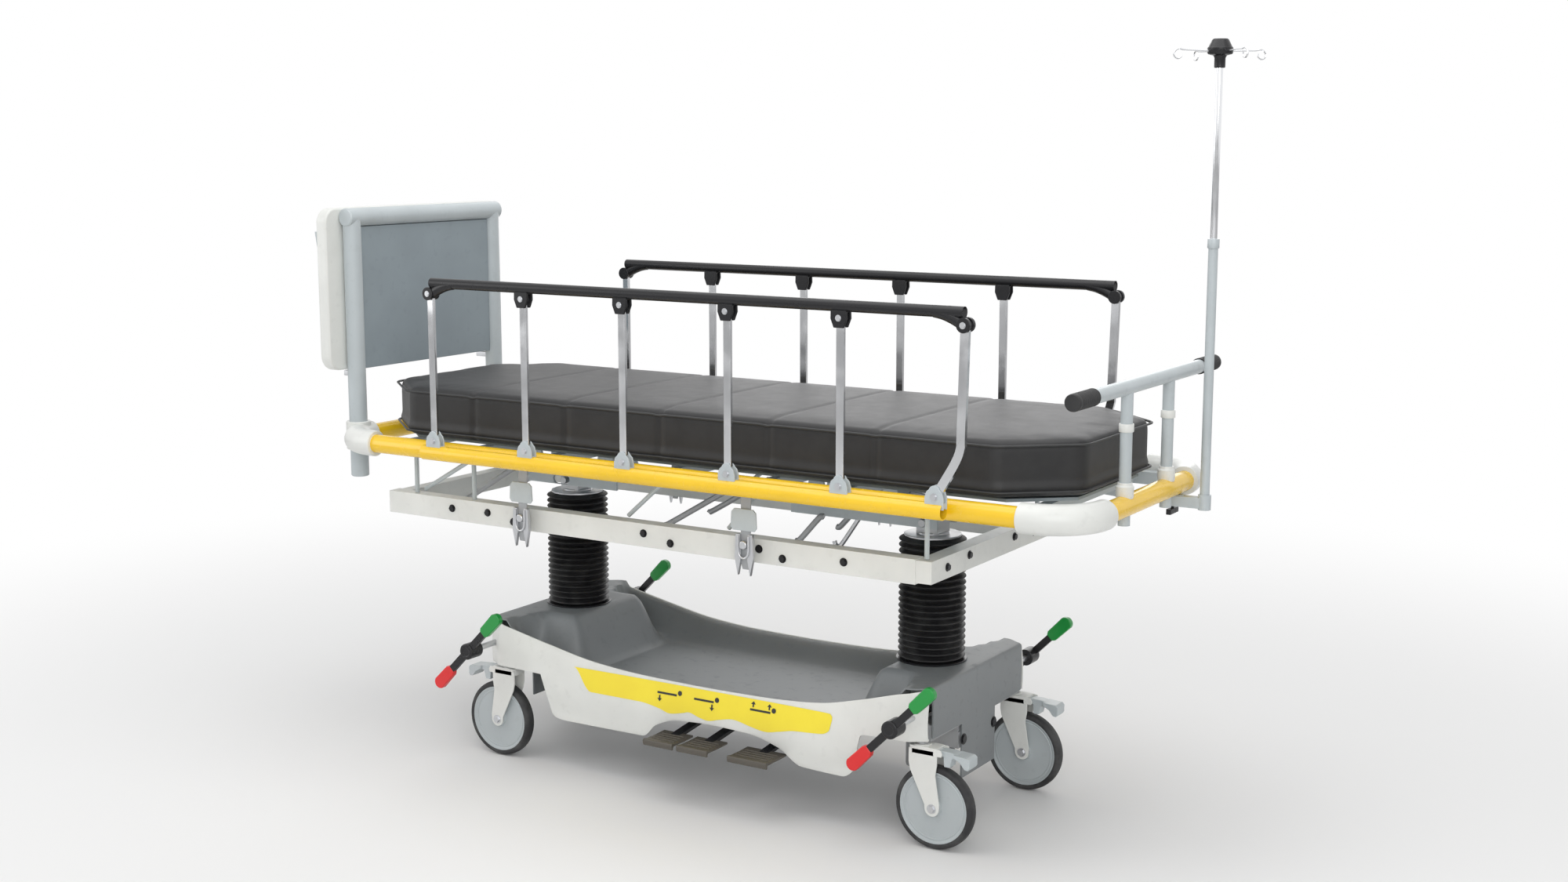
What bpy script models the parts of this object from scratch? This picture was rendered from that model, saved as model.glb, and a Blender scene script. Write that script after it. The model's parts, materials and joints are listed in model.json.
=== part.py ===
"""Patient transport cot on two lifting columns: every piece at its real size, in metres, +Z up.

+X points to the head end, -Y is the near side, and the floor is at z = 0.
"""
import math

import bmesh
import bpy
from mathutils import Matrix, Vector

# ---------------------------------------------------------------- driving sizes
GAP = 0.0005                    # between pieces that touch or slide
SIDES = (("near", -1), ("far", 1))

# casters
WHEEL_R = 0.100
WHEEL_W = 0.032
TRAIL = 0.035                   # from the swivel axis to the wheel's axle
CASTER_Y = 0.2417
SWIVEL_HEAD_X = 0.629
SWIVEL_FOOT_X = -0.595
AXLE_R = 0.006
STEM_R = 0.008
FORK_TOP = 0.2455
FORK_LEG = 0.004
TOE_REACH = 0.130               # caster brake's tip, from the swivel axis
TOE_PIVOT = (0.050, 0.234)      # caster brake's pin: out from the swivel axis, and up

# base
HOUSING_Z = (0.247, 0.292)
HOUSING_R = 0.0145
CHASSIS_Z = (0.195, 0.235)
CHASSIS_Y = (0.062, 0.098)
BASE_HALF = 0.652
PLATEAU_Z = 0.376
FLOOR_Z = 0.245
APRON_Z = 0.120
SHELL = 0.004
RIM_Y = 0.268
RIM_DROP = 0.025
SKIRT_BULGE = 0.012
SWEEP_R = 0.150                 # kept clear round each swivel axis, below the fork's top
SKIRT_TOP = ((-0.648, 0.372), (-0.600, 0.362), (-0.445, 0.331), (-0.293, 0.305), (-0.150, 0.295),
             (0.040, 0.292), (0.200, 0.294), (0.300, 0.299), (0.375, 0.307), (0.480, 0.332),
             (0.606, 0.366), (0.648, 0.372))
SKIRT_FOOT = ((-0.648, 0.254), (-0.460, 0.254), (-0.446, 0.190), (-0.440, 0.140), (-0.400, 0.136),
              (-0.150, 0.138), (-0.102, 0.181), (-0.040, 0.199), (0.065, 0.204), (0.170, 0.203),
              (0.256, 0.184), (0.317, 0.137), (0.430, 0.136), (0.450, 0.150), (0.482, 0.254),
              (0.648, 0.254))

# brake bars across the base
BRAKE_BARS = (("foot", -0.630), ("head", 0.615))
BRAKE_Z = 0.310
BRAKE_SHAFT_R = 0.008
LEVER_Y = (0.362, 0.378)
LEVER_REACH = 0.150
LEVER_DEG = 45.0

# foot pedals
PEDAL_AXLE = (-0.140, 0.185)    # y and z
PEDAL_AXLE_R = 0.007
PEDALS = (("foot_down", -0.088, 0.0), ("head_down", 0.012, 0.102), ("raise", 0.160, 0.272))
PEDAL_BRACKETS = (-0.118, 0.130, 0.290)
PEDAL_PLATE_Y = (-0.350, -0.262)
PEDAL_Z = 0.163

# lifting columns
COLUMN_FOOT_X = -0.556
COLUMN_HEAD_X = 0.522
OUTER_R = 0.060
MID_R = 0.050
RAM_R = 0.040
TUBE_WALL = 0.005
OUTER_Z = (0.110, 0.420)
MID_Z = (0.250, 0.562)
RAM_Z = (0.360, 0.690)
FLANGE_Z = (0.680, 0.685)
BELLOWS_R = 0.081
BELLOWS_VALLEY_R = 0.0735
BELLOWS_BORE_R = 0.0685
BELLOWS_Z = (0.3793, 0.6793)
BELLOWS_FOLDS = 8
PIVOT_Z = 0.718
PIN_R = 0.0095

# deck
TUBE_R = 0.024
TUBE_Z = 0.8265
SIDE_Y = 0.364
HEAD_X = 1.058
FOOT_X = -1.072
BEND_R = 0.120
CORNER_R = 0.034
RAIL_Y = (0.285, 0.315)
RAIL_Z = (0.800, 0.830)
CROSS_X = (-0.900, -0.660, -0.420, -0.050, 0.225, 0.435, 0.902)
PLATE_Y = (0.045, 0.053)
PLATE_Z = (0.706, 0.730)
BEAM_Y = (0.270, 0.310)
BEAM_Z = (0.634, 0.692)
BEAM_X = (-0.945, 0.640)
BEAM_END = 0.040
ROD_R = 0.006
RODS = ((-0.863, 0.290), (-0.665, 0.290), (0.660, 0.292))
BRACES = ((-0.847, -0.652), (-0.179, -0.048), (0.118, 0.222))   # a brace's foot and head in x
BRACE_Y = (0.276, 0.296)
BRACE_Z = (0.700, 0.806)
PANEL_Z = (0.838, 0.8455)
PANEL_Y = 0.278

# backrest
HINGE_X = 0.255
HINGE_Z = 0.842
STAY_ARM = 0.300
STAY_DROP = math.radians(5.0)
STAY_Y = 0.200
STAY_ROD_R = 0.008
TRACK_Y = (0.240, 0.246)

# mattress
MATTRESS_X = (-1.020, 1.000)
MATTRESS_HALF = 0.326
MATTRESS_Z = (0.8475, 0.980)
CHAMFER = (0.155, 0.131)
NOTCH_DEG = 34.0

# side rails
RAIL_PLANE = 0.4085
BASE_TUBE_R = 0.019
BASE_TUBE_Z = 0.829
BASE_TUBE_X = (-0.728, 0.760)
POST_X = (-0.6873, -0.3898, -0.0923, 0.2052, 0.5027, 0.741)
POST_FOOT_Z = 0.8611
POST_TOP_Z = 1.2346
LAST_TOP_X = 0.8067
DOGLEG = (0.800, 0.965)
POST_W = 0.020
POST_T = 0.010
PIVOT_PIN_R = 0.0048
PIVOT_HOLE_R = 0.0060
HOOK_HALF = 0.0055              # half the opening of the end post's hook
BAR_R = 0.013
BAR_Z = 1.261
KNUCKLE_R = 0.0165
CHEEK = 0.0045
SLOT = POST_T + 0.001

# push handle
HANDLE_Z = 1.089
HANDLE_BAR_R = 0.0165
HANDLE_Y = 0.420
GRIP_LEN = 0.105
GRIP_R = 0.019
HANDLE_POST_Y = 0.124
HANDLE_POST_R = 0.0135
HANDLE_FOOT_Z = 0.783
HANDLE_COLLARS = (0.870, 1.000)

# drip pole
POLE_X = 1.125
POLE_Y = 0.195
ARM_Z = (0.7745, 0.7995)
KNOB_X = HEAD_X - 0.010
POLE_LOWER_R = 0.011
POLE_LOWER_TOP = 1.396
POLE_UPPER_R = 0.008
POLE_UPPER_Z = (1.170, 1.790)
HOOK_SPAN = 0.118

# footboard
BOARD_POST_X = -1.078
BOARD_POST_Y = 0.280
BOARD_POST_R = 0.024
BOARD_POST_FOOT = 0.715
BOARD_TOP_Z = 1.410
PANEL_FOOT_Z = 1.005
SHELF_X = (-1.140, -1.1045)
SHELF_Y = 0.350
SHELF_Z = (1.003, 1.435)
SHELF_CORNER = 0.040
POCKET_Y = 0.300
POCKET_Z = (1.100, 1.370)
POCKET_DEPTH = 0.055

# ---------------------------------------------------------------- materials
FINISHES = {
    "frame_white": ((0.80, 0.81, 0.79), 0.35, 0.0),
    "yellow_tube": ((0.90, 0.58, 0.02), 0.22, 0.0),
    "tub_grey": ((0.16, 0.175, 0.185), 0.45, 0.0),
    "steel_grey": ((0.45, 0.46, 0.47), 0.40, 0.6),
    "light_grey": ((0.56, 0.60, 0.62), 0.35, 0.0),
    "chrome": ((0.80, 0.80, 0.82), 0.08, 1.0),
    "black_plastic": ((0.02, 0.02, 0.022), 0.35, 0.0),
    "rubber": ((0.015, 0.015, 0.016), 0.60, 0.0),
    "mattress": ((0.055, 0.057, 0.058), 0.50, 0.0),
    "pedal_brown": ((0.10, 0.09, 0.075), 0.45, 0.0),
    "panel_grey": ((0.30, 0.34, 0.36), 0.45, 0.0),
}


def clear_scene():
    for item in list(bpy.data.objects):
        bpy.data.objects.remove(item, do_unlink=True)


def collection(name):
    made = bpy.data.collections.new(name)
    bpy.context.scene.collection.children.link(made)
    return made


def material(name):
    colour, roughness, metallic = FINISHES[name]
    made = bpy.data.materials.new(name)
    made.use_nodes = True
    shader = made.node_tree.nodes["Principled BSDF"]
    shader.inputs["Base Color"].default_value = (*colour, 1.0)
    shader.inputs["Roughness"].default_value = roughness
    shader.inputs["Metallic"].default_value = metallic
    return made


clear_scene()
PARTS = collection("transport_cot")
WORK = collection("work_shapes")
AXES = {}


# ---------------------------------------------------------------- shapes
def held(mesh, name="shape"):
    """A working object, which joins or cuts a piece and is then removed."""
    made = bpy.data.objects.new(name, mesh)
    WORK.objects.link(made)
    made.hide_render = True
    made.display_type = "WIRE"
    return made


def from_bmesh(form):
    bmesh.ops.recalc_face_normals(form, faces=form.faces)
    mesh = bpy.data.meshes.new("shape")
    form.to_mesh(mesh)
    form.free()
    return held(mesh)


def box(low, high):
    form = bmesh.new()
    bmesh.ops.create_cube(form, size=1.0)
    low, high = Vector(low), Vector(high)
    size = high - low
    bmesh.ops.scale(form, vec=size, verts=form.verts)
    bmesh.ops.translate(form, vec=(low + high) / 2, verts=form.verts)
    return from_bmesh(form)


def rod(start, end, radius, sides=10, end_radius=None):
    """A round bar, or a cone, from start to end."""
    start, end = Vector(start), Vector(end)
    run = end - start
    turn = run.to_track_quat("Z", "Y").to_matrix().to_4x4()
    form = bmesh.new()
    bmesh.ops.create_cone(form, cap_ends=True, segments=sides, radius1=radius,
                          radius2=radius if end_radius is None else end_radius, depth=run.length,
                          matrix=Matrix.Translation((start + end) / 2) @ turn)
    return from_bmesh(form)


def from_object(source):
    """The evaluated shape of an object as a plain mesh with its ends welded."""
    bpy.context.view_layer.update()
    shown = source.evaluated_get(bpy.context.evaluated_depsgraph_get())
    mesh = bpy.data.meshes.new_from_object(shown)
    mesh.transform(source.matrix_world)
    form = bmesh.new()
    form.from_mesh(mesh)
    bmesh.ops.remove_doubles(form, verts=form.verts, dist=0.000002)
    bpy.data.objects.remove(source, do_unlink=True)
    return from_bmesh(form)


def curve_object(kind, splines, depth=0.0, resolution=2, extrude=0.0):
    data = bpy.data.curves.new("path", "CURVE")
    data.dimensions = kind
    for points, cyclic in splines:
        line = data.splines.new("POLY")
        line.points.add(len(points) - 1)
        for knot, place in zip(line.points, points):
            knot.co = (*place, 1.0)
        line.use_cyclic_u = cyclic
    data.bevel_depth = depth
    data.bevel_resolution = resolution
    data.use_fill_caps = depth > 0
    data.extrude = extrude
    if kind == "2D":
        data.fill_mode = "BOTH"
    made = bpy.data.objects.new("path", data)
    WORK.objects.link(made)
    return made


def tube(points, radius, cyclic=False, resolution=2):
    return from_object(curve_object("3D", [(points, cyclic)], radius, resolution))


def plate(outline, low, high, plane="XZ", holes=()):
    """A flat plate with an outline in its plane, from low to high across it."""
    splines = [([(a, b, 0.0) for a, b in outline], True)]
    splines += [([(a, b, 0.0) for a, b in hole], True) for hole in holes]
    made = curve_object("2D", splines, extrude=(high - low) / 2)
    middle = (low + high) / 2
    if plane == "XZ":
        made.matrix_world = Matrix(((1, 0, 0, 0), (0, 0, -1, middle), (0, 1, 0, 0), (0, 0, 0, 1)))
    elif plane == "YZ":
        made.matrix_world = Matrix(((0, 0, 1, middle), (1, 0, 0, 0), (0, 1, 0, 0), (0, 0, 0, 1)))
    else:
        made.matrix_world = Matrix.Translation((0, 0, middle))
    return from_object(made)


def ring(centre, radius, sides=8):
    return [(centre[0] + radius * math.cos((i + 0.5) * math.tau / sides),
             centre[1] + radius * math.sin((i + 0.5) * math.tau / sides)) for i in range(sides)]


def arc(centre, radius, start_deg, end_deg, steps):
    return [(centre[0] + radius * math.cos(math.radians(start_deg + (end_deg - start_deg) * i / steps)),
             centre[1] + radius * math.sin(math.radians(start_deg + (end_deg - start_deg) * i / steps)))
            for i in range(steps + 1)]


def round_box(low, high, radius, steps=3):
    """The outline of a rectangle with round corners."""
    corners = (((high[0] - radius, high[1] - radius), 0), ((low[0] + radius, high[1] - radius), 90),
               ((low[0] + radius, low[1] + radius), 180), ((high[0] - radius, low[1] + radius), 270))
    return [point for centre, turn in corners
            for point in arc(centre, radius, turn, turn + 90, steps)]


def turned(profile, sides, axis="Z"):
    """A closed profile of (radius, height) points turned into a ring."""
    form = bmesh.new()
    knots = [form.verts.new((r, 0.0, h)) for r, h in profile]
    edges = [form.edges.new((a, b)) for a, b in zip(knots, knots[1:] + knots[:1])]
    bmesh.ops.spin(form, geom=knots + edges, axis=(0, 0, 1), cent=(0, 0, 0), steps=sides,
                   angle=math.tau, use_merge=True)
    bmesh.ops.remove_doubles(form, verts=form.verts, dist=0.00001)
    if axis == "Y":
        bmesh.ops.rotate(form, cent=(0, 0, 0), matrix=Matrix.Rotation(math.pi / 2, 3, "X"),
                         verts=form.verts)
    return from_bmesh(form)


def moved(shape, offset):
    shape.data.transform(Matrix.Translation(offset))
    return shape


def combine(shape, others, operation):
    for other in others:
        change = shape.modifiers.new("join", "BOOLEAN")
        change.operation = operation
        change.solver = "EXACT"
        change.object = other
    made = from_object(shape)
    for other in others:
        bpy.data.objects.remove(other, do_unlink=True)
    return made


def joined(shape, *others):
    return combine(shape, others, "UNION")


def cut(shape, *others):
    return combine(shape, others, "DIFFERENCE")


def flipped(shape):
    """The same shape on the other side of the cot's middle plane."""
    form = bmesh.new()
    form.from_mesh(shape.data)
    bmesh.ops.scale(form, vec=(1, -1, 1), verts=form.verts)
    return from_bmesh(form)


def smooth_step(value):
    value = min(1.0, max(0.0, value))
    return value * value * (3 - 2 * value)


def along(points, x):
    """The height of a broken line at x."""
    for (x0, z0), (x1, z1) in zip(points, points[1:]):
        if x <= x1:
            return z0 + (z1 - z0) * max(0.0, x - x0) / (x1 - x0)
    return points[-1][1]


# ---------------------------------------------------------------- pieces
def axis_empty(name, place, parent=None):
    """An empty on a joint's axis, which carries that joint's pieces."""
    made = bpy.data.objects.new(name, None)
    PARTS.objects.link(made)
    made.empty_display_size = 0.05
    AXES[name] = Vector(place)
    made.location = Vector(place) - (AXES[parent.name] if parent else Vector())
    made.parent = parent
    return made


def piece(name, shape, finish, origin=(0, 0, 0), parent=None, turn=0.0, keep_mesh=None):
    """Names a finished shape, puts its origin on its axis and gives it its material."""
    origin = Vector(origin)
    if keep_mesh is None:
        mesh = shape.data
        mesh.transform(Matrix.Translation(-origin))
        bpy.data.objects.remove(shape, do_unlink=True)
        mesh.name = name
        mesh.materials.clear()
        mesh.materials.append(bpy.data.materials.get(finish) or material(finish))
        mesh.shade_smooth()
        mesh.set_sharp_from_angle(angle=math.radians(35))
    else:
        mesh = keep_mesh
    made = bpy.data.objects.new(name, mesh)
    PARTS.objects.link(made)
    made.location = origin - (AXES[parent.name] if parent else Vector())
    made.rotation_euler = (0, 0, turn)
    made.parent = parent
    return made


# ---------------------------------------------------------------- base
def build_chassis():
    """Welded frame with the columns' fixed tubes, the caster housings and the pedal axle."""
    low, high = CHASSIS_Z
    shapes = []
    for _, side in SIDES:
        inner, outer = sorted((side * CHASSIS_Y[0], side * CHASSIS_Y[1]))
        shapes.append(box((SWIVEL_FOOT_X - 0.018, inner, low), (SWIVEL_HEAD_X + 0.018, outer, high)))
        for swivel in (SWIVEL_FOOT_X, SWIVEL_HEAD_X):
            shapes.append(box((swivel - 0.016, inner + 0.001, high - 0.002),
                              (swivel + 0.016, outer - 0.001, HOUSING_Z[1] - 0.006)))
            shapes.append(rod((swivel, side * CASTER_Y, HOUSING_Z[0]),
                              (swivel, side * CASTER_Y, HOUSING_Z[1]), HOUSING_R))
    for swivel in (SWIVEL_FOOT_X, SWIVEL_HEAD_X):
        shapes.append(box((swivel - 0.018, -CASTER_Y + 0.004, HOUSING_Z[0] + 0.003),
                          (swivel + 0.018, CASTER_Y - 0.004, HOUSING_Z[1] - 0.003)))
    for column in (COLUMN_FOOT_X, COLUMN_HEAD_X):
        shapes.append(rod((column, 0, OUTER_Z[0]), (column, 0, OUTER_Z[1]), OUTER_R, 16))
        shapes.append(box((column - 0.055, -CHASSIS_Y[0] - 0.01, low + 0.003),
                          (column + 0.055, CHASSIS_Y[0] + 0.01, high - 0.003)))
    shapes.append(box((-0.02, -CHASSIS_Y[0] - 0.01, low + 0.003),
                      (0.02, CHASSIS_Y[0] + 0.01, high - 0.003)))
    for x in PEDAL_BRACKETS:
        shapes.append(box((x - 0.003, PEDAL_AXLE[0] - 0.016, PEDAL_AXLE[1] - 0.014),
                          (x + 0.003, -CHASSIS_Y[0] - 0.01, high - 0.004)))
    shapes.append(rod((PEDAL_BRACKETS[0] - 0.008, *PEDAL_AXLE),
                      (PEDAL_BRACKETS[-1] + 0.008, *PEDAL_AXLE), PEDAL_AXLE_R, 10))
    bores = [rod((column, 0, OUTER_Z[0] - 0.01), (column, 0, OUTER_Z[1] + 0.01), OUTER_R - TUBE_WALL, 16)
             for column in (COLUMN_FOOT_X, COLUMN_HEAD_X)]
    bores += [rod((swivel, side * CASTER_Y, HOUSING_Z[0] - 0.01),
                  (swivel, side * CASTER_Y, HOUSING_Z[1] + 0.01), STEM_R + 0.001, 10)
              for swivel in (SWIVEL_FOOT_X, SWIVEL_HEAD_X) for _, side in SIDES]
    piece("chassis", cut(joined(*shapes), *bores), "steel_grey")


def rim_y(x):
    """Half the base's width at its rim: its ends are drawn in."""
    return RIM_Y - RIM_DROP * smooth_step((abs(x) - 0.60) / (BASE_HALF - 0.60))


def tub_height(x, y):
    """The grey tub's surface: a flat floor, walls up to the rim and a plateau at each end."""
    half = rim_y(x)
    rim = along(SKIRT_TOP, x) - 0.002
    basin = FLOOR_Z + (rim - FLOOR_Z) * smooth_step((abs(y) - 0.175) / (half - 0.180))
    end = smooth_step((abs(x) - 0.385) / 0.085)
    reach = 0.135 + (half - 0.100) * smooth_step((abs(x) - 0.545) / 0.070)
    across = smooth_step((reach + 0.070 - abs(y)) / 0.070)
    raised = end * across
    slope = FLOOR_Z + (rim - FLOOR_Z) * smooth_step((abs(x) - 0.50) / 0.12)
    low = max(basin, slope)
    return low + (PLATEAU_Z - low) * raised


def apron_half(z):
    """Half the end face's width: narrow between the casters, wide above them."""
    wide = rim_y(BASE_HALF) - 0.008
    return wide if z > FORK_TOP + 0.010 else CASTER_Y - SWEEP_R - 0.004


def build_tub():
    across = (-1.0, -0.90, -0.78, -0.66, -0.50, -0.24, 0.24, 0.50, 0.66, 0.78, 0.90, 1.0)
    inner = (-0.640, -0.615, -0.590, -0.545, -0.500, -0.470, -0.445, -0.425, -0.405, -0.385, -0.300, -0.150)
    stations = inner + (0.0,) + tuple(-x for x in reversed(inner))
    form = bmesh.new()
    rows = []
    for end in (-1, 1):
        face = []
        for z in (APRON_Z, 0.180, FORK_TOP + 0.0095, FORK_TOP + 0.0125, 0.320, PLATEAU_Z - 0.012):
            half = apron_half(z)
            face.append([form.verts.new((end * BASE_HALF, t * half, z)) for t in across])
        half = apron_half(PLATEAU_Z)
        edge = (end * (BASE_HALF - 0.004), PLATEAU_Z - 0.003)
        face.append([form.verts.new((edge[0], t * half, edge[1])) for t in across])
        if end < 0:
            rows += face
            for x in stations:
                half = rim_y(x) - 0.0075
                rows.append([form.verts.new((x, t * half, tub_height(x, t * half))) for t in across])
        else:
            rows += reversed(face)
    for row, following in zip(rows, rows[1:]):
        for i in range(len(across) - 1):
            form.faces.new((row[i], following[i], following[i + 1], row[i + 1]))
    shape = from_bmesh(form)
    if shape.data.polygons[len(shape.data.polygons) // 2].normal.z < 0:
        shape.data.flip_normals()
    wall = shape.modifiers.new("wall", "SOLIDIFY")
    wall.thickness = SHELL
    wall.offset = -1
    shape = from_object(shape)
    holes = [rod((column, 0, 0.25), (column, 0, 0.45), OUTER_R + 0.005, 16)
             for column in (COLUMN_FOOT_X, COLUMN_HEAD_X)]
    piece("base_tub", cut(shape, *holes), "tub_grey")


def skirt_y(x, z):
    """The white skirt's outer face at a place along the base."""
    depth = (along(SKIRT_TOP, x) - z) / 0.160
    return rim_y(x) + SKIRT_BULGE * math.sin(math.pi * min(1.0, max(0.0, depth)))


def build_skirt():
    stations = sorted({x for x, _ in SKIRT_TOP} | {x for x, _ in SKIRT_FOOT} |
                      {-0.625, -0.52, -0.35, -0.22, -0.126, 0.115, 0.215, 0.290, 0.55, 0.625})
    rows = 3
    form = bmesh.new()
    grid = []
    for x in stations:
        top, foot = along(SKIRT_TOP, x), along(SKIRT_FOOT, x)
        heights = [foot + (top - foot) * i / rows for i in range(rows + 1)]
        grid.append([form.verts.new((x, skirt_y(x, z), z)) for z in heights])
    for line, following in zip(grid, grid[1:]):
        for i in range(rows):
            form.faces.new((line[i], following[i], following[i + 1], line[i + 1]))
    shape = from_bmesh(form)
    if shape.data.polygons[len(shape.data.polygons) // 2].normal.y < 0:
        shape.data.flip_normals()
    wall = shape.modifiers.new("wall", "SOLIDIFY")
    wall.thickness = SHELL
    wall.offset = -1
    shape = from_object(shape)
    holes = [rod((x, 0.15, BRAKE_Z), (x, 0.35, BRAKE_Z), BRAKE_SHAFT_R + 0.003, 10) for _, x in BRAKE_BARS]
    return cut(shape, *holes)


def build_skirts():
    far = build_skirt()
    piece("skirt_near", flipped(far), "frame_white")
    piece("skirt_far", far, "frame_white")


def build_brake_bar(name, x):
    """Cross shaft with a barrel and a two-armed lever on each end."""
    shapes = [rod((x, -LEVER_Y[0] + 0.004, BRAKE_Z), (x, LEVER_Y[0] - 0.004, BRAKE_Z),
                  BRAKE_SHAFT_R, 8)]
    lean = Matrix.Translation((x, 0, BRAKE_Z)) @ Matrix.Rotation(-math.radians(LEVER_DEG), 4, "Y")
    for _, side in SIDES:
        shapes.append(rod((x, side * 0.335, BRAKE_Z), (x, side * 0.380, BRAKE_Z), 0.021, 12))
        low, high = sorted((side * LEVER_Y[0], side * LEVER_Y[1]))
        arm = box((-0.095, low + 0.002, -0.009), (0.095, high - 0.002, 0.009))
        pads = [box((-LEVER_REACH, low, -0.016), (-0.085, high, 0.016)),
                box((0.085, low, -0.016), (LEVER_REACH, high, 0.016))]
        for shape in (arm, *pads):
            shape.data.transform(lean)
            shapes.append(shape)
    piece(f"brake_bar_{name}", joined(*shapes), "black_plastic", (x, 0, BRAKE_Z))


def build_pedal(name, x_low, x_high):
    """Rolled-lip plate on an arm that turns on the pedal axle."""
    y_low, y_high = PEDAL_PLATE_Y
    axle_y, axle_z = PEDAL_AXLE
    middle = (x_low + x_high) / 2
    deck = box((x_low, y_low, PEDAL_Z - 0.006), (x_high, y_high, PEDAL_Z))
    lip = box((x_low, y_low - 0.004, PEDAL_Z - 0.016), (x_high, y_low + 0.003, PEDAL_Z + 0.002))
    arm = plate([(y_high - 0.045, PEDAL_Z - 0.012), (axle_y - 0.010, axle_z - 0.012),
                 (axle_y + 0.006, axle_z - 0.006), (axle_y, axle_z + 0.006),
                 (y_high - 0.045, PEDAL_Z - 0.002)], middle - 0.013, middle + 0.013, "YZ")
    hub = rod((middle - 0.020, axle_y, axle_z), (middle + 0.020, axle_y, axle_z), 0.0145, 12)
    bore = rod((middle - 0.030, axle_y, axle_z), (middle + 0.030, axle_y, axle_z), PEDAL_AXLE_R + 0.001, 10)
    piece(f"pedal_{name}", cut(joined(deck, lip, arm, hub), bore), "pedal_brown", (middle, axle_y, axle_z))


# ---------------------------------------------------------------- casters
def fork_shape():
    """Caster fork about its swivel axis, with stem, two legs, axle and brake lugs."""
    leg_y = WHEEL_W / 2 + 0.0015
    crown = box((-0.024, -leg_y - FORK_LEG, 0.224), (0.045, leg_y + FORK_LEG, FORK_TOP))
    legs, lugs = [], []
    for side in (-1, 1):
        low, high = sorted((side * leg_y, side * (leg_y + FORK_LEG)))
        outline = [(-0.0235, 0.2355), (-0.0235, 0.200), (TRAIL - 0.017, 0.105)]
        outline += arc((TRAIL, WHEEL_R), 0.017, 190, 350, 5)
        outline += [(TRAIL + 0.016, 0.110), (0.040, 0.190), (0.0445, 0.2355)]
        legs.append(plate(outline, low + 0.0002, high - 0.0002))
        lugs.append(plate([(0.030, 0.226), (0.058, 0.226), (0.060, 0.234), (0.056, 0.2425), (0.030, 0.2425)],
                          low + 0.0006, high - 0.0006))
    pin_out = leg_y + FORK_LEG
    axle = rod((TRAIL, -pin_out - 0.0045, WHEEL_R), (TRAIL, pin_out + 0.0045, WHEEL_R), AXLE_R, 8)
    stem = rod((0, 0, FORK_TOP - 0.005), (0, 0, HOUSING_Z[1] - 0.007), STEM_R, 10)
    toe_pin = rod((TOE_PIVOT[0], -pin_out + 0.001, TOE_PIVOT[1]),
                  (TOE_PIVOT[0], pin_out - 0.001, TOE_PIVOT[1]), 0.003, 8)
    return joined(crown, *legs, *lugs, axle, stem, toe_pin)


def wheel_shape():
    """Tyre, disc and hub boss in one ring about the axle."""
    half = WHEEL_W / 2
    profile = [(AXLE_R + 0.0015, -half), (0.020, -half), (0.076, -0.009), (0.082, -half + 0.001),
               (WHEEL_R - 0.004, -half + 0.001), (WHEEL_R, -0.007)]
    profile += [(r, -h) for r, h in reversed(profile)]
    return turned(profile, 24, "Y")


def toe_brake_shape():
    """Foot-operated caster brake about its pin: arm, shoe over the tyre and a turned-down tip."""
    out, up = TOE_PIVOT
    reach = TOE_REACH - out
    outline = [(-0.003, -0.0060), (0.010, -0.0075), (0.012, -0.032), (0.028, -0.032),
               (0.032, -0.008), (reach - 0.030, -0.006), (reach - 0.030, 0.002), (0.030, 0.006),
               (0.004, 0.0065), (-0.003, 0.004)]
    arm = plate(outline, -0.0150, 0.0150, holes=[ring((0, 0), 0.0038)])
    tip = plate([(reach - 0.040, -0.004), (reach - 0.014, -0.028), (reach, -0.024), (reach, 0.001),
                 (reach - 0.040, 0.003)], -0.022, 0.022)
    return joined(arm, tip)


def build_casters():
    fork, wheel, toe = fork_shape(), wheel_shape(), toe_brake_shape()
    meshes = {}
    for end, swivel, turn in (("head", SWIVEL_HEAD_X, 0.0), ("foot", SWIVEL_FOOT_X, math.pi)):
        way = math.cos(turn)
        for name, side in SIDES:
            y = side * CASTER_Y
            tag = f"{end}_{name}"
            places = {"fork": (swivel, y, 0.0), "wheel": (swivel + way * TRAIL, y, WHEEL_R),
                      "toe_brake": (swivel + way * TOE_PIVOT[0], y, TOE_PIVOT[1])}
            for part, shape, finish in (("fork", fork, "frame_white"), ("wheel", wheel, "rubber"),
                                        ("toe_brake", toe, "frame_white")):
                if part not in meshes:
                    first = piece(f"caster_{tag}_{part}", shape, finish)
                    meshes[part] = first.data
                    first.location = places[part]
                else:
                    piece(f"caster_{tag}_{part}", None, None, places[part], turn=turn,
                          keep_mesh=meshes[part])


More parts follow.
